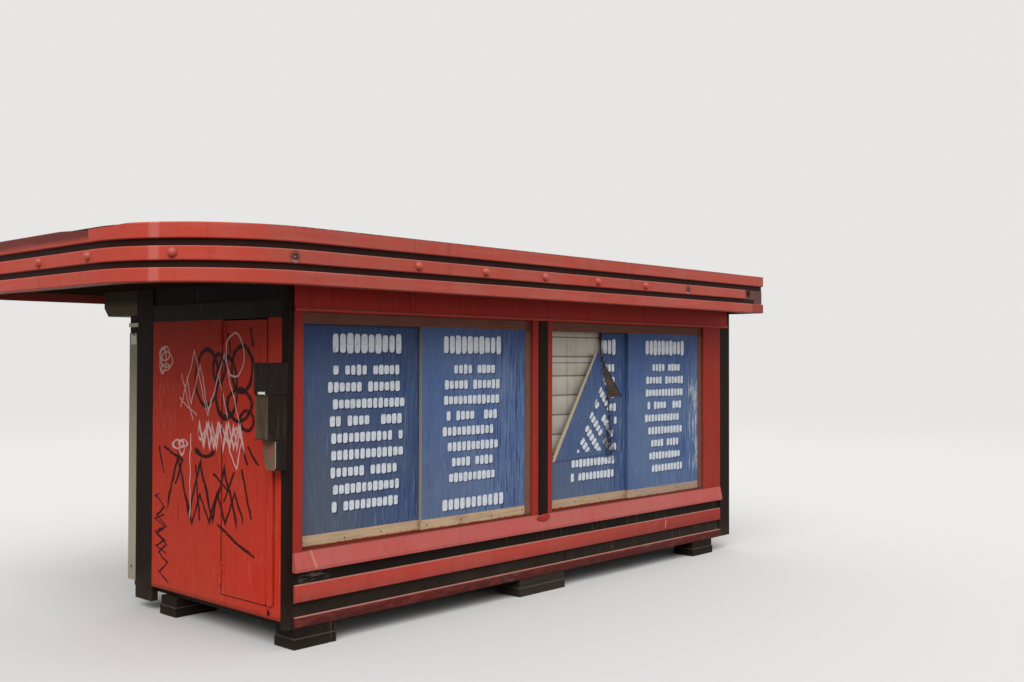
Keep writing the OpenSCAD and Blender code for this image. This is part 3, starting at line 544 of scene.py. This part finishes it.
def blocks(x, offset, row, pitch, half, fray, gaps):
    # one row of plain worn blocks of uneven size; the offset runs from -1 to 1 over its height
    start = (row * 12.9898).shuffle()
    block = x / pitch + start
    number = block.floor()
    pick = ((number + row * 3.7) * 78.233).shuffle()
    across = (block - number - 0.5) * (pick * 0.5 + 2.2)
    middle = (number + 0.5 - start) * pitch
    offset = offset * ((pick * 7.3).calc("FRACT") * 0.22 + 0.94)
    shown = (across.fourth() + offset.fourth() + fray).rise(1.2, 0.9)
    return shown * pick.rise(gaps, gaps + 0.01) * abs(middle).calc("LESS_THAN", half)


def paintedRows(kit, x, z, look, fray):
    # low rows with gaps, and tall rows without
    step = (look["rowTop"] + look["rowStep"] / 2 - z) / look["rowStep"]
    row = step.floor()
    half = (row * 7.13).shuffle() * look["ragged"] + (look["half"] - look["ragged"])
    offset = (step - row - 0.5) * (2 * look["rowStep"] / look["rowHeight"])
    shown = blocks(x, offset, row, look["pitch"], half, fray, look["gaps"])
    shown = shown * kit.inside(row, -0.5, look["rows"] - 0.5, 0.1)
    for middle, tall, pitch in look["talls"]:
        shown = shown.most(blocks(x, (z - middle) * (2 / tall), z * 0 + 20 * middle, pitch,
                                  look["half"], fray, -1))
    return shown


def blueFinish(name, look):
    kit = Kit(name)
    look = {**boardPaint, **look}
    x, z = kit.x - look["centre"], kit.z
    # weathered plywood under thin paint: clouds, bleached foot, cracks and lifted fibres; painted
    # shade at the top
    streak = kit.noise(1, 4, 0.7, stretch=(75, 10, 2.2))
    cloud = kit.noise(2.2, 4, 0.6, shift=2)
    side = x.rise(-0.45, 0.5)
    kit.colour = kit.blend(cloud.rise(0.3, 0.7) * 0.7, look["blue"], look["grey"])
    kit.over(kit.streaks((5, 5, 1.2), 0.45, 0.75, 4) * 0.5, look["grey"])
    kit.over((1 - side) * z.rise(1.9, 0.7) * look["bleach"], look["worn"])
    cracks = (streak + side * 0.1).rise(0.6, 0.72)
    kit.over(cracks * look["cracks"], look["deep"])
    kit.over(kit.streaks((240, 10, 14), 0.55, 0.75, 0, 2, 0.5) * 0.35, look["deep"])
    fibres = kit.streaks((130, 10, 6), 0.55, 0.68, 8, 3, 0.6)
    kit.over(fibres * (side * 0.2 + 0.12), (146, 162, 190))
    # painted shade: darker and deeper blue towards the top, under the canopy
    kit.over(z.rise(1.5, 1.88) * 0.4, (32, 46, 92))
    kit.rough, kit.height = cloud * 0.15 + 0.5, streak * 0.5 - cracks * 0.3
    # painted rows, each with a dark shade
    rubbed = kit.noise(34, 4, 0.7, shift=5).rise(0.36, 0.48) * 0.25 + 0.68
    fray = (kit.noise(85, 3, 0.7, stretch=(1, 1, 0.7), shift=7) - 0.45) * 0.9
    u, v, zone = x, z, 1.0
    if "slope" in look:
        # on the torn piece the rows slope down to its right edge
        turn = look["slope"]
        u = x * cos(turn) - (z - 1.29) * sin(turn)
        v = x * sin(turn) + (z - 1.29) * cos(turn) + 1.3
        zone = (kit.x - (z - 1.03) * 0.6 - 2.7).rise(-0.01, 0) * z.rise(0.97, 0.98)
    step = look["shadeStep"]
    kit.over(paintedRows(kit, u - step, v + step, look, fray) * zone * 0.8, look["shade"])
    kit.over(paintedRows(kit, u, v, look, fray) * zone * rubbed, look["white"])
    if "scrape" in look:
        lines = kit.streaks((38, 10, 6), 0.48, 0.6, 1, rough=0.75)
        zone = kit.inside(kit.x, 4.13, 4.265, 0.02) * kit.inside(z, 0.76, 1.5, 0.06)
        kit.over(lines * zone * 0.85, look["scrape"])
    if "bareSide" in look:
        kit.over(kit.west, look["bareSide"])  # the front board's own edge
    if "tornEdge" in look:
        # the torn piece's right edge stands off the board and is crumpled: painted shadow along it,
        # painted shade in its creases
        crumple = kit.noise(26, 4, 0.75, shift=2)
        rim, creaseShade = look["tornEdge"], crumple.rise(0.44, 0.56) * 0.7
        corners = [(2.962, 1.723), (3.047, 1.391), (3.093, 0.946)]
        for start, end in zip(corners, corners[1:]):
            for shake, width, amount in ((0.02, rim, 0.85), (0.03, 5 * rim, creaseShade)):
                line = kit.line(kit.x + (crumple - 0.5) * shake, z, start, end, width)
                kit.over(line * amount, look["shade"])
        # painted shade in the fold near the piece's lower right
        fold = kit.spot(kit.x, z, (3.035, 1.04), (0.045, 0.11), 0.5)
        kit.over(fold * crumple.rise(0.35, 0.5) * 0.8, (24, 28, 40))
    if "rawEdge" in look:
        # bare core along the torn left edge
        gap = (kit.x - 2.384) * 0.8484 - (z - 0.92) * 0.5294
        frayed = kit.noise(30, 4, 0.7, shift=1) * 0.012
        kit.over((gap + frayed).rise(0.027, 0.021), look["rawEdge"])
    if "core" in look:
        # timber behind the torn skin
        grain = kit.streaks((4, 60, 60), 0.3, 0.7, rough=0.65)
        kit.over(kit.y.rise(0.05, 0.053), kit.blend(grain, look["core"], (84, 72, 64)))
    return kit.finish()


timber = {"pale": (182, 154, 124), "grey": (156, 134, 110), "stain": (118, 86, 66),
          "far": (130, 114, 106), "brown": (90, 38, 33), "rust": (104, 36, 26)}


def timberFinish():
    # pale foot rails, greyer to the far end; head track and stiles stained brown
    kit = Kit("timberBare")
    x, z = kit.x, kit.z
    grain = kit.noise(1, 5, 0.65, stretch=(4, 60, 90))
    stain = kit.noise(4, 5, 0.65, shift=6)
    ragged = kit.noise(1, 4, 0.8, stretch=(22, 10, 22), shift=3) * 0.02
    kit.colour = kit.blend(grain.rise(0.35, 0.7), timber["pale"], timber["grey"])
    kit.over(stain.rise(0.5, 0.72) * 0.5, timber["stain"])
    kit.over(x.rise(2.3, 4.3) * 0.6, timber["far"])
    kit.over((z - ragged).rise(0.575, 0.563), timber["rust"])
    kit.over(z.rise(1.86, 1.89) * 0.85, timber["brown"])
    stile = abs(x - 2.08).least(abs(x - 4.304)).rise(0.037, 0.03)
    kit.over(stile * 0.8, timber["brown"])
    kit.over(stile * kit.streaks((90, 60, 4), 0.45, 0.7, rough=0.65) * 0.6, timber["stain"])
    kit.rough, kit.height = stain * 0.15 + 0.62, grain
    return kit.finish(0.0012)


slats = {"plain": (192, 185, 171), "dull": (170, 162, 150), "dirt": (66, 58, 50),
         "shadow": (118, 112, 108), "dark": (30, 26, 24), "foot": 0.685, "step": 0.145,
         "streaks": 0.35, "shade": 0.0}


def slatFinish(name, changes):
    kit = Kit(name)
    look = {**slats, **changes}
    cloud = kit.noise(1.6, 4, 0.6)
    step = (kit.z - look["foot"]) / look["step"]
    joint = abs(step - step.calc("ROUND")).rise(0.07, 0)
    kit.colour = kit.blend(cloud.rise(0.3, 0.7), look["plain"], look["dull"])
    runs = kit.streaks((30, 30, 1.2), 0.5, 0.75, 0, 4, 0.6)
    kit.over(runs * look["streaks"], look["dirt"])
    kit.over(kit.z.rise(1.75, 1.2) * look["shade"], look["shadow"])
    kit.over(joint * 0.85, look["dirt"])
    # a thick dark line across the slats at one height
    if "darkLine" in look:
        darkLineMask = kit.inside(kit.z, look["darkLine"] - 0.003, look["darkLine"] + 0.003, 0.003)
        kit.over(darkLineMask * 0.9, look["dark"])
    kit.rough = cloud * 0.2 + 0.45
    kit.height = kit.noise(1, 3, 0.6, stretch=(6, 60, 60)) * 0.3
    return kit.finish(0.0008, 0.2)


def lockBoxFinish():
    # black cap, olive middle, rubbed foot with a scratch
    kit = enamel("lockBlack", blackPaint, {"fresh": (34, 28, 25), "seed": 6.0})
    olive = kit.streaks((1, 20, 4), 0.3, 0.7, 0, 4, 0.6)
    olive = kit.blend(olive, (88, 74, 54), (66, 54, 40))
    kit.over(kit.west * kit.inside(kit.z, 1.222, 1.474), olive)
    mottle = kit.noise(26, 4, 0.7, stretch=(1, 1, 0.6), shift=2).rise(0.42, 0.56)
    rubbed = kit.blend(mottle, (96, 102, 74), (146, 86, 78))
    kit.over(kit.west * kit.z.rise(1.216, 1.212) * 0.85, rubbed)
    scratch = kit.line(kit.x, kit.z, (-0.078, 1.205), (-0.079, 1.055), 0.0035)
    kit.over(scratch * 0.8, (168, 166, 158))
    kit.over(kit.streaks((40, 40, 5), 0.5, 0.7, 1, 4) * 0.35, (66, 64, 58))
    return kit.finish(0.002)


def beamFinish():
    # beams over the end walls, with painted shade on their upper part, greyer below, with a few
    # pale scratches
    kit = enamel("beamBlack", blackPaint, {"fresh": (34, 28, 25), "faded": (46, 40, 36)})
    y, z = kit.y, kit.z
    # painted shade: darker above, under the soffit
    kit.over(z.rise(2.02, 2.04) * 0.6, (16, 12, 10))
    kit.over(z.rise(2.03, 2.02) * y.rise(0.2, 0.5) * (kit.patch * 0.8), (58, 50, 44))
    green = kit.streaks((1, 80, 3), 0.55, 0.7, 2, 3, 0.6)
    kit.over(green * y.rise(0.3, 0.1) * 0.6, (56, 54, 34))
    marks = kit.line(y, z, (0.99, 2.05), (0.985, 2.12), 0.003)
    marks = marks.most(kit.line(y, z, (0.93, 1.95), (0.935, 2.02), 0.002))
    kit.over(marks * 0.6, (120, 116, 104))
    return kit.finish()


frameBlack = enamel("frameBlack", blackPaint).finish()
lockBlack, roofGrey = lockBoxFinish(), roofFinish()
wears = {
    wallFinish(): ["end_wall_front", "end_wall_rear", "end_wall_far", "door_sill_panel",
                   "door_leaf", "door_hinge_seats", "lock_bar"],
    bandFinish("bandRed", grime=1): ["front_bands"],
    bandFinish("sillRed", {"fresh": (171, 80, 75), "faded": (166, 95, 90)}): ["front_sill"],
    bandFinish("jambRed", {"fresh": (146, 44, 36), "faded": (140, 54, 48)}): ["front_jambs"],
    headerFinish(): ["front_header"],
    fasciaFinish(): ["fascia_band_bottom", "fascia_band_middle", "fascia_band_top"],
    enamel("capRed", fasciaPaint, {"fresh": (172, 48, 38), "faded": (168, 56, 46),
                                   "rough": 0.28}).finish(shine=0.32): ["fascia_caps"],
    # painted light: the rim's red is paler and pinker, standing in for light on it in the shade
    # under the canopy
    enamel("rimRed", redPaint, {"fresh": (164, 74, 68), "faded": (168, 86, 80),
                                "dark": (120, 50, 44), "seed": 1.0}).finish(): ["canopy_rim"],
    enamel("rearRed", redPaint, {"fresh": (156, 50, 40), "seed": 3.0}).finish(): ["rear_header"],
    frameBlack: ["base_rails", "base_cross_members", "corner_posts", "front_mullion",
                 "front_head_beam", "rear_sill", "rear_mullion", "roof_joists"],
    enamel("grooveBlack", blackPaint, {"fresh": (40, 20, 17), "faded": (50, 28, 24),
                                       "seed": 2.0}).finish(): ["fascia_backing"],
    lowerWallFinish(): ["front_lower_wall"],
    feetFinish(): ["feet"],
    lockBlack: ["lock_box"],
    beamFinish(): ["end_head_beams"],
    enamel("paleGuide", blackPaint, {
        "fresh": (160, 156, 138), "faded": (170, 166, 150), "dark": (108, 98, 80),
        "dustAndSheen": (120, 106, 88), "dirt": 0.6, "splash": 0.5}).finish(): ["rear_guides"],
    casingFinish(): ["shutter_box"],
    roofGrey: ["roof_deck"],
    enamel("soot", blackPaint, {"fresh": (50, 42, 35), "faded": (64, 54, 45),
                                "dark": (32, 26, 22), "rough": 0.85}).finish(shine=0): ["soffit"],
    enamel("floorPlate", blackPaint, {"fresh": (98, 94, 88), "faded": (116, 110, 102),
                                      "dark": (66, 60, 54), "dirt": 0.2}).finish(): ["floor_plate"],
    plateFinish(): ["canopy_end_plate"],
    slatFinish("slatGrey", {"darkLine": 1.653, "shade": 0.45}): ["front_shutters"],
    slatFinish("rearSlatGrey", {"foot": 0.324, "plain": (166, 160, 148),
                                "dull": (146, 140, 128)}): ["rear_shutters"],
    timberFinish(): ["board_tracks"],
    blueFinish("blueOne", {
        "centre": 0.625, "half": 0.298, "ragged": 0.035, "bleach": 0.85, "cracks": 0.5,
        "blue": (56, 76, 114), "grey": (72, 86, 108), "worn": (80, 85, 97)}): ["board_1"],
    blueFinish("blueTwo", {
        "centre": 1.519, "bleach": 0.4, "cracks": 0.75, "rows": 8, "bareSide": (150, 140, 126),
        "talls": [(1.775, 0.118, 0.056), (0.715, 0.08, 0.054)]}): ["board_2"],
    blueFinish("blueThree", {
        "centre": 2.872, "half": 0.28, "ragged": 0.01, "bleach": 0.5, "cracks": 0.75,
        "blue": (58, 80, 122), "grey": (82, 99, 128), "core": (52, 43, 38),
        "tornEdge": 0.016}): ["board_3"],
    blueFinish("blueFour", {
        "centre": 3.781, "bleach": 0.2, "cracks": 0.6, "scrape": (176, 178, 178)}): ["board_4"],
    blueFinish("bluePiece", {
        "centre": 2.872, "half": 0.6, "bleach": 0.3, "cracks": 0.3, "slope": radians(50),
        "rowTop": 1.66, "rows": 14, "talls": [], "shadeStep": 0.006, "blue": (58, 80, 122),
        "grey": (82, 99, 128), "tornEdge": 0.011, "rawEdge": (172, 156, 130)}): ["board_piece"],
}
for material, nodes in wears.items():
    for node in nodes:
        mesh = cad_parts[node].data
        mesh.materials.clear()
        mesh.materials.append(material)


# ---- small pieces, in millimetres; their coats are fresh, faded and dark paint
print("small pieces")
coatTones = {
    "nailSteel": ((70, 54, 46), (96, 76, 62), (44, 30, 24)),
    "boltGrey": ((120, 116, 108), (136, 130, 120), (84, 58, 42)),
    # painted light: the cream is kept pale to stand in for light on the bracket, which sits in
    # shade
    "cream": ((226, 218, 198), (236, 230, 212), (160, 142, 116)),
    "chalk": ((236, 233, 226), (244, 242, 236), (150, 142, 130)),
    "bitumen": ((44, 42, 40), (66, 62, 58), (30, 28, 26)),
    "rawWood": ((172, 156, 130), (142, 122, 98), (92, 72, 54)),
    "oldRed": ((168, 48, 40), (150, 56, 48), (84, 30, 24)),
    "rustRed": ((150, 44, 36), (116, 52, 38), (72, 34, 24))}
coats = {name: enamel(name, blackPaint, dict(zip(("fresh", "faded", "dark"), tones))).finish()
         for name, tones in coatTones.items()}


def keep(shape, name, coat, body="cabin"):
    # the mesh is closed and becomes a piece that rides on a body
    bmesh.ops.holes_fill(shape, edges=[e for e in shape.edges if e.is_boundary], sides=64)
    bmesh.ops.recalc_face_normals(shape, faces=shape.faces)
    data = bpy.data.meshes.new(name)
    shape.to_mesh(data)
    shape.free()
    data.materials.append(coat)
    piece = show(name, data)
    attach(piece, body)


def lay(shape, verts, place, size=(1, 1, 1), turn=Matrix.Identity(3)):
    # scales, turns and places new vertices
    bmesh.ops.scale(shape, vec=size, verts=verts)
    bmesh.ops.rotate(shape, cent=(0, 0, 0), matrix=turn, verts=verts)
    bmesh.ops.translate(shape, vec=place, verts=verts)


def edgesOf(verts):
    return list({edge for vert in verts for edge in vert.link_edges})


def only(kind, parts):
    return [part for part in parts if isinstance(part, kind)]


def towards(direction):
    # turns the z axis to the direction
    return Vector(direction).to_track_quat("Z", "Y").to_matrix()


def bar(shape, low, high, edge=1.0):
    # a bar between two corners, its edges broken
    low, high = at(*low), at(*high)
    made = bmesh.ops.create_cube(shape, size=1.0)["verts"]
    lay(shape, made, (low + high) / 2, high - low)
    bmesh.ops.bevel(shape, geom=edgesOf(made), offset=edge / 1000, affect="EDGES", segments=2,
                    profile=0.5, material=-1)


def heads(shape, spots, facing, radius, rise):
    # low domed heads of nails, screws and bolts
    for spot in spots:
        made = bmesh.ops.create_uvsphere(shape, u_segments=10, v_segments=6,
                                         radius=radius / 1000)["verts"]
        lay(shape, made, at(*spot), (1, 1, rise / radius), towards(facing))


def push(shape, edges, step):
    # draws a ring of edges on by a step in metres, and returns the new ring
    made = bmesh.ops.extrude_edge_only(shape, edges=edges)["geom"]
    bmesh.ops.translate(shape, vec=step, verts=only(bmesh.types.BMVert, made))
    return [edge for edge in only(bmesh.types.BMEdge, made) if edge.is_boundary]


def bend(shape, edges, centre):
    # turns a ring of edges by a right angle
    made = bmesh.ops.spin(shape, geom=edges, cent=centre, axis=(0, 0, 1), dvec=(0, 0, 0),
                          angle=radians(-90), steps=4, use_merge=False)["geom_last"]
    return only(bmesh.types.BMEdge, made)


def handle(shape, middle, width, reach, radius):
    # a bent rod on a rear shutter: out, across and back
    corner = 2.5 * radius
    out = Vector((0, (reach - corner) / 1000, 0))
    across = Vector(((width - 2 * corner) / 1000, 0, 0))
    start = at(middle[0] - width / 2, middle[1], middle[2])
    made = bmesh.ops.create_circle(shape, segments=10, radius=radius / 1000)["verts"]
    lay(shape, made, start, turn=Matrix.Rotation(radians(-90), 3, "X"))
    turnAt = start + out + Vector((corner / 1000, 0, 0))
    ring = bend(shape, push(shape, edgesOf(made), out), turnAt)
    ring = bend(shape, push(shape, ring, across), turnAt + across)
    push(shape, ring, -out)


# nails in the boards' foot rails: first, last and face of each rail
nails = {"radius": 6, "rise": 2.5, "pitch": 310, "height": 603, "astray": (14, 9),
         "rails": [(140, 1060, 49), (1095, 2030, 18), (2365, 3250, 49), (3320, 4250, 18)]}
astrayX, astrayZ = nails["astray"]
shape = bmesh.new()
for first, last, face in nails["rails"]:
    count = round((last - first) / nails["pitch"])
    heads(shape, [(first + (last - first) * i / count + chance.uniform(-astrayX, astrayX), face,
                   nails["height"] + chance.uniform(-astrayZ, astrayZ)) for i in range(count + 1)],
          (0, -1, 0), nails["radius"], nails["rise"])
keep(shape, "rail_nails", coats["nailSteel"])

# screws in the hinge straps: place across and lift on the wall and on the leaf
screws = {"radius": 6, "rise": 2.5, "face": -3, "feet": (299, 1762), "pitch": 35,
          "cabin": (716, 15), "door": (655, 80)}
for body in ("cabin", "door"):
    across, lift = screws[body]
    shape = bmesh.new()
    heads(shape, [(screws["face"], across, foot + lift + step) for foot in screws["feet"]
                  for step in (0, screws["pitch"])], (-1, 0, 0), screws["radius"], screws["rise"])
    keep(shape, "hinge_screws_" + body, coats["rustRed"], body)

# cream bracket that holds the guide to the near rear post
bracket = {"from": 1712, "to": 1835, "low": 1893, "high": 1921, "thick": 7, "screw": (1722, 1907)}
shape = bmesh.new()
bar(shape, (-bracket["thick"], bracket["from"], bracket["low"]),
    (0, bracket["to"], bracket["high"]), 3.0)
heads(shape, [(-bracket["thick"], *bracket["screw"])], (-1, 0, 0), 5, 3)
keep(shape, "guide_bracket", coats["cream"])

# torn, whitish flap at the top of the near guide
flap = {"low": 1774, "high": 1846, "from": 1736, "to": 1812, "face": -1.2, "tear": (-26, 15.6),
        "curl": 9, "thick": 2.0}
shape = bmesh.new()
made = bmesh.ops.create_grid(shape, x_segments=11, y_segments=4, size=0.5)["verts"]
low, high = [at(flap["face"], flap[y], flap[z]) for y, z in (("from", "low"), ("to", "high"))]
lay(shape, made, (low + high) / 2, (high.y - low.y, high.z - low.z, 1),
    Matrix.Rotation(radians(90), 3, "Z") @ Matrix.Rotation(radians(90), 3, "X"))
for vert in made:
    if vert.co.z > flap["high"] / 1000 - 0.001:
        vert.co.z += chance.uniform(*flap["tear"]) / 1000
        vert.co.x -= chance.uniform(0, flap["curl"]) / 1000
bmesh.ops.solidify(shape, geom=shape.faces, thickness=flap["thick"] / 1000)
keep(shape, "guide_flap", coats["chalk"])

# black channels that carry the three rear guides on up into the casing, and the guides' bolts
guides = {"middles": (25, 2387.5, 4750), "foot": 1853, "top": 1974, "from": 1737, "to": 1832,
          "width": 44, "face": 1835, "firstBolt": 240, "pitch": 300, "bolts": 6}
shape = bmesh.new()
for x in guides["middles"]:
    bar(shape, (x - guides["width"] / 2, guides["from"], guides["foot"]),
        (x + guides["width"] / 2, guides["to"], guides["top"]), 2.0)
keep(shape, "guide_channels", frameBlack)
shape = bmesh.new()
heads(shape, [(x, guides["face"], guides["firstBolt"] + i * guides["pitch"])
              for x in guides["middles"] for i in range(guides["bolts"])], (0, 1, 0), 9, 5)
heads(shape, [(0, 1790, 261)], (-1, 0, 0), 10, 6)
keep(shape, "guide_bolts", coats["rustRed"])

# pull handles, their lugs and hasps on the rear shutters
pulls = {"middles": (1186, 3589), "face": 1796, "height": 262, "width": 150, "reach": 34,
         "radius": 5, "lug": (14, 22), "hasp": 900, "haspFoot": 204, "haspTop": 272}
face, height, (lugWide, lugTall) = pulls["face"], pulls["height"], pulls["lug"]
shape = bmesh.new()
for x in pulls["middles"]:
    handle(shape, (x, face, height), pulls["width"], pulls["reach"], pulls["radius"])
    for side in (-1, 1):
        foot = x + side * pulls["width"] / 2
        bar(shape, (foot - lugWide, face, height - lugTall),
            (foot + lugWide, face + 4, height + lugTall))
        heads(shape, [(foot, face + 4, height + step) for step in (-15, 15)], (0, 1, 0), 4, 2)
        hasp = x + side * pulls["hasp"]
        bar(shape, (hasp - 20, face, pulls["haspFoot"]), (hasp + 20, face + 5, pulls["haspTop"]))
        handle(shape, (hasp, face + 4, 224), 30, 22, 4)
keep(shape, "shutter_pulls", coats["boltGrey"])

# lock box: folded lips at its steps, rivets, and a curl of torn sheet under the cap
lockParts = {"lips": [(-141, 1478), (-131, 1218)],
             "rivets": [(-30, 1520), (-110, 1520), (-30, 1630), (-110, 1630), (-25, 1260),
                        (-105, 1440)],
             "curl": {"from": 14, "to": 78, "edge": (-140, 1480), "middle": (-146, 1484)}}
shape = bmesh.new()
for face, foot in lockParts["lips"]:
    bar(shape, (face, 7.5, foot - 1), (-4, 11, foot + 5), 1.0)
    bar(shape, (face - 2, 10, foot - 1), (face + 1, 134, foot + 5), 1.0)
capFoot = lockParts["lips"][0][1]
heads(shape, [(x, 10 if z > capFoot else 12, z) for x, z in lockParts["rivets"]],
      (0, -1, 0), 6, 2.5)
keep(shape, "lock_box_lips", lockBlack)
curl = lockParts["curl"]
(edgeX, edgeZ), (midX, midZ) = curl["edge"], curl["middle"]
shape = bmesh.new()
ends = [bmesh.ops.create_vert(shape, co=at(edgeX, y, edgeZ))["vert"][0]
        for y in (curl["from"], curl["to"])]
bmesh.ops.spin(shape, geom=[shape.edges.new(ends)], cent=at(midX, 0, midZ), axis=(0, 1, 0),
               dvec=(0, 0, 0), angle=radians(230), steps=9)
bmesh.ops.solidify(shape, geom=shape.faces, thickness=0.0016)
keep(shape, "lock_box_curl", coats["chalk"])

# lump of paint and rust where the mullion stands on the sill
lump = {"middle": (2224, -15, 541), "size": (66, 5, 22), "bulge": (1.8, 0.45), "grit": (6.0, 0.15)}
shape = bmesh.new()
made = bmesh.ops.create_icosphere(shape, subdivisions=4, radius=1.0)["verts"]
for vert in made:
    vert.co *= 1 + sum(depth * noise.noise(vert.co * scale)
                       for scale, depth in (lump["bulge"], lump["grit"]))
lay(shape, made, at(*lump["middle"]), Vector(lump["size"]) / 1000)
keep(shape, "mullion_lump", coats["oldRed"])

# splinters along the torn edges of the third board: middle, slope of the edge, how many
splinters = [((2560, 46, 1168), 58, 3), ((2700, 46, 1350), 58, 4), ((2850, 46, 1545), 58, 3),
             ((2965, 46, 1700), 62, 2), ((3000, 51, 1660), -35, 2), ((3060, 51, 1640), -30, 3),
             ((3150, 51, 1560), -62, 3), ((3200, 51, 1470), -66, 3), ((3240, 51, 1390), -64, 2),
             ((2470, 46, 1050), 58, 2), ((2620, 46, 1245), 60, 2), ((2780, 46, 1450), 55, 2)]
splinter = {"length": (18, 52), "root": 0.0028, "tip": 0.0004, "lean": 16, "spread": 40}
shape = bmesh.new()
for (x, y, z), slope, count in splinters:
    for i in range(count):
        length = chance.uniform(*splinter["length"])
        made = bmesh.ops.create_cone(shape, cap_ends=True, segments=5, radius1=splinter["root"],
                                     radius2=splinter["tip"], depth=length / 1000)["verts"]
        lean = slope + chance.uniform(-splinter["lean"], splinter["lean"])
        along = chance.uniform(-splinter["spread"], splinter["spread"])
        lay(shape, made, at(x + along * cos(radians(slope)), y, z + along * sin(radians(slope))),
            (1, 0.5, 1), Matrix.Rotation(radians(90 - lean), 3, "Y"))
keep(shape, "board_splinters", coats["rawWood"])

# ragged rings of the two lost caps
lostRing = {"outer": 0.022, "inner": 0.014, "depth": 0.006, "ragged": (0.6, 1.25),
            "stand": 0.002, "thick": 0.0012}
midX, midY = streetCorner[0]
shape = bmesh.new()
for x, y, z in lostCaps:
    facing = Vector((min(x - midX, 0), y - midY if x < 0 else -1, 0)).normalized()
    made = bmesh.ops.create_cone(shape, segments=18, radius1=lostRing["outer"],
                                 radius2=lostRing["inner"], depth=lostRing["depth"])["verts"]
    for vert in made:
        vert.co *= chance.uniform(*lostRing["ragged"])
    lay(shape, made, at(x, y, z) + facing * lostRing["stand"], turn=towards(facing))
bmesh.ops.solidify(shape, geom=shape.faces, thickness=lostRing["thick"])
keep(shape, "lost_cap_rings", coats["nailSteel"])

# roof: lapped seams with screws, patches of bitumen, a bead of sealant round the rim
roof = {"deck": 2376, "seam": 15, "width": 26, "farEnd": 4767, "street": -298, "rear": 2578,
        "seams": [(-640, 0, 2535)] + [(x, -290, 2570) for x in (245, 1190, 2135, 3080, 4025)],
        "patches": [(520, 1500, 210), (2630, 620, 260), (3420, 2040, 180), (-300, 900, 150)]}
shape = bmesh.new()
for x, low, high in roof["seams"]:
    bar(shape, (x - roof["width"] / 2, low, roof["deck"]),
        (x + roof["width"] / 2, high, roof["deck"] + roof["seam"]), 5.0)
keep(shape, "roof_seams", roofGrey)
shape = bmesh.new()
for x, low, high in roof["seams"]:
    heads(shape, [(x + side, y, roof["deck"]) for side in (-24, 24)
                  for y in range(low + 60, high + 1, 230)], (0, 0, 1), 8, 5)
keep(shape, "roof_screws", coats["boltGrey"])
shape = bmesh.new()
for x, y, size in roof["patches"]:
    made = bmesh.ops.create_circle(shape, cap_ends=True, segments=28, radius=size / 1000)["verts"]
    for vert in made:
        vert.co *= chance.uniform(0.82, 1.08)
    lay(shape, made, at(x, y, roof["deck"] + 0.5), (1.25, 0.8, 1))
    lifted = bmesh.ops.extrude_face_region(shape, geom=[made[0].link_faces[0]])["geom"]
    lifted = only(bmesh.types.BMVert, lifted)
    bmesh.ops.scale(shape, vec=(0.96, 0.96, 1), verts=lifted,
                    space=Matrix.Translation(-at(x, y, 0)))
    bmesh.ops.translate(shape, vec=(0, 0, 0.003), verts=lifted)
keep(shape, "roof_patches", coats["bitumen"])

bead = {"radius": 7, "inset": 7, "height": roof["deck"] + 3, "steps": 16}
path = bpy.data.curves.new("path", "CURVE")
path.dimensions, path.bevel_depth, path.bevel_resolution = "3D", bead["radius"] / 1000, 2
farX = roof["farEnd"] - bead["inset"]
points = [at(farX, roof["street"] + bead["inset"], bead["height"])]
for (middle, radius), start in ((streetCorner, 270), (rearCorner, 180)):
    for i in range(bead["steps"] + 1):
        turn = radians(start - 90 * i / bead["steps"])
        points.append(at(middle[0] + (radius - bead["inset"]) * cos(turn),
                         middle[1] + (radius - bead["inset"]) * sin(turn), bead["height"]))
points.append(at(farX, roof["rear"] - bead["inset"], bead["height"]))
track = path.splines.new("POLY")
track.points.add(len(points) - 1)
for point, place in zip(track.points, points):
    point.co = (*place, 1)
track.use_cyclic_u = True
beadCurve = show("path", path)
shape = bmesh.new()
bpy.context.view_layer.update()
shape.from_mesh(beadCurve.to_mesh())
bpy.data.objects.remove(beadCurve)
keep(shape, "roof_bead", coats["bitumen"])

# strips over the joints of the canopy's ceiling sheets: one across it, three behind the cabin
strips = {"top": 2144, "thick": 5, "width": 40,
          "runs": [(-460, -120, 2480, range(-60, 2450, 260))] + [
              (x, 2206, 2560, (2240, 2390, 2530)) for x in (1190, 2388, 3585)]}
shape = bmesh.new()
for x, low, high, screwsAt in strips["runs"]:
    foot = strips["top"] - strips["thick"]
    bar(shape, (x, low, foot), (x + strips["width"], high, strips["top"]))
    heads(shape, [(x + strips["width"] / 2, y, foot) for y in screwsAt], (0, 0, -1), 7, 3)
keep(shape, "ceiling_strips", coats["bitumen"])
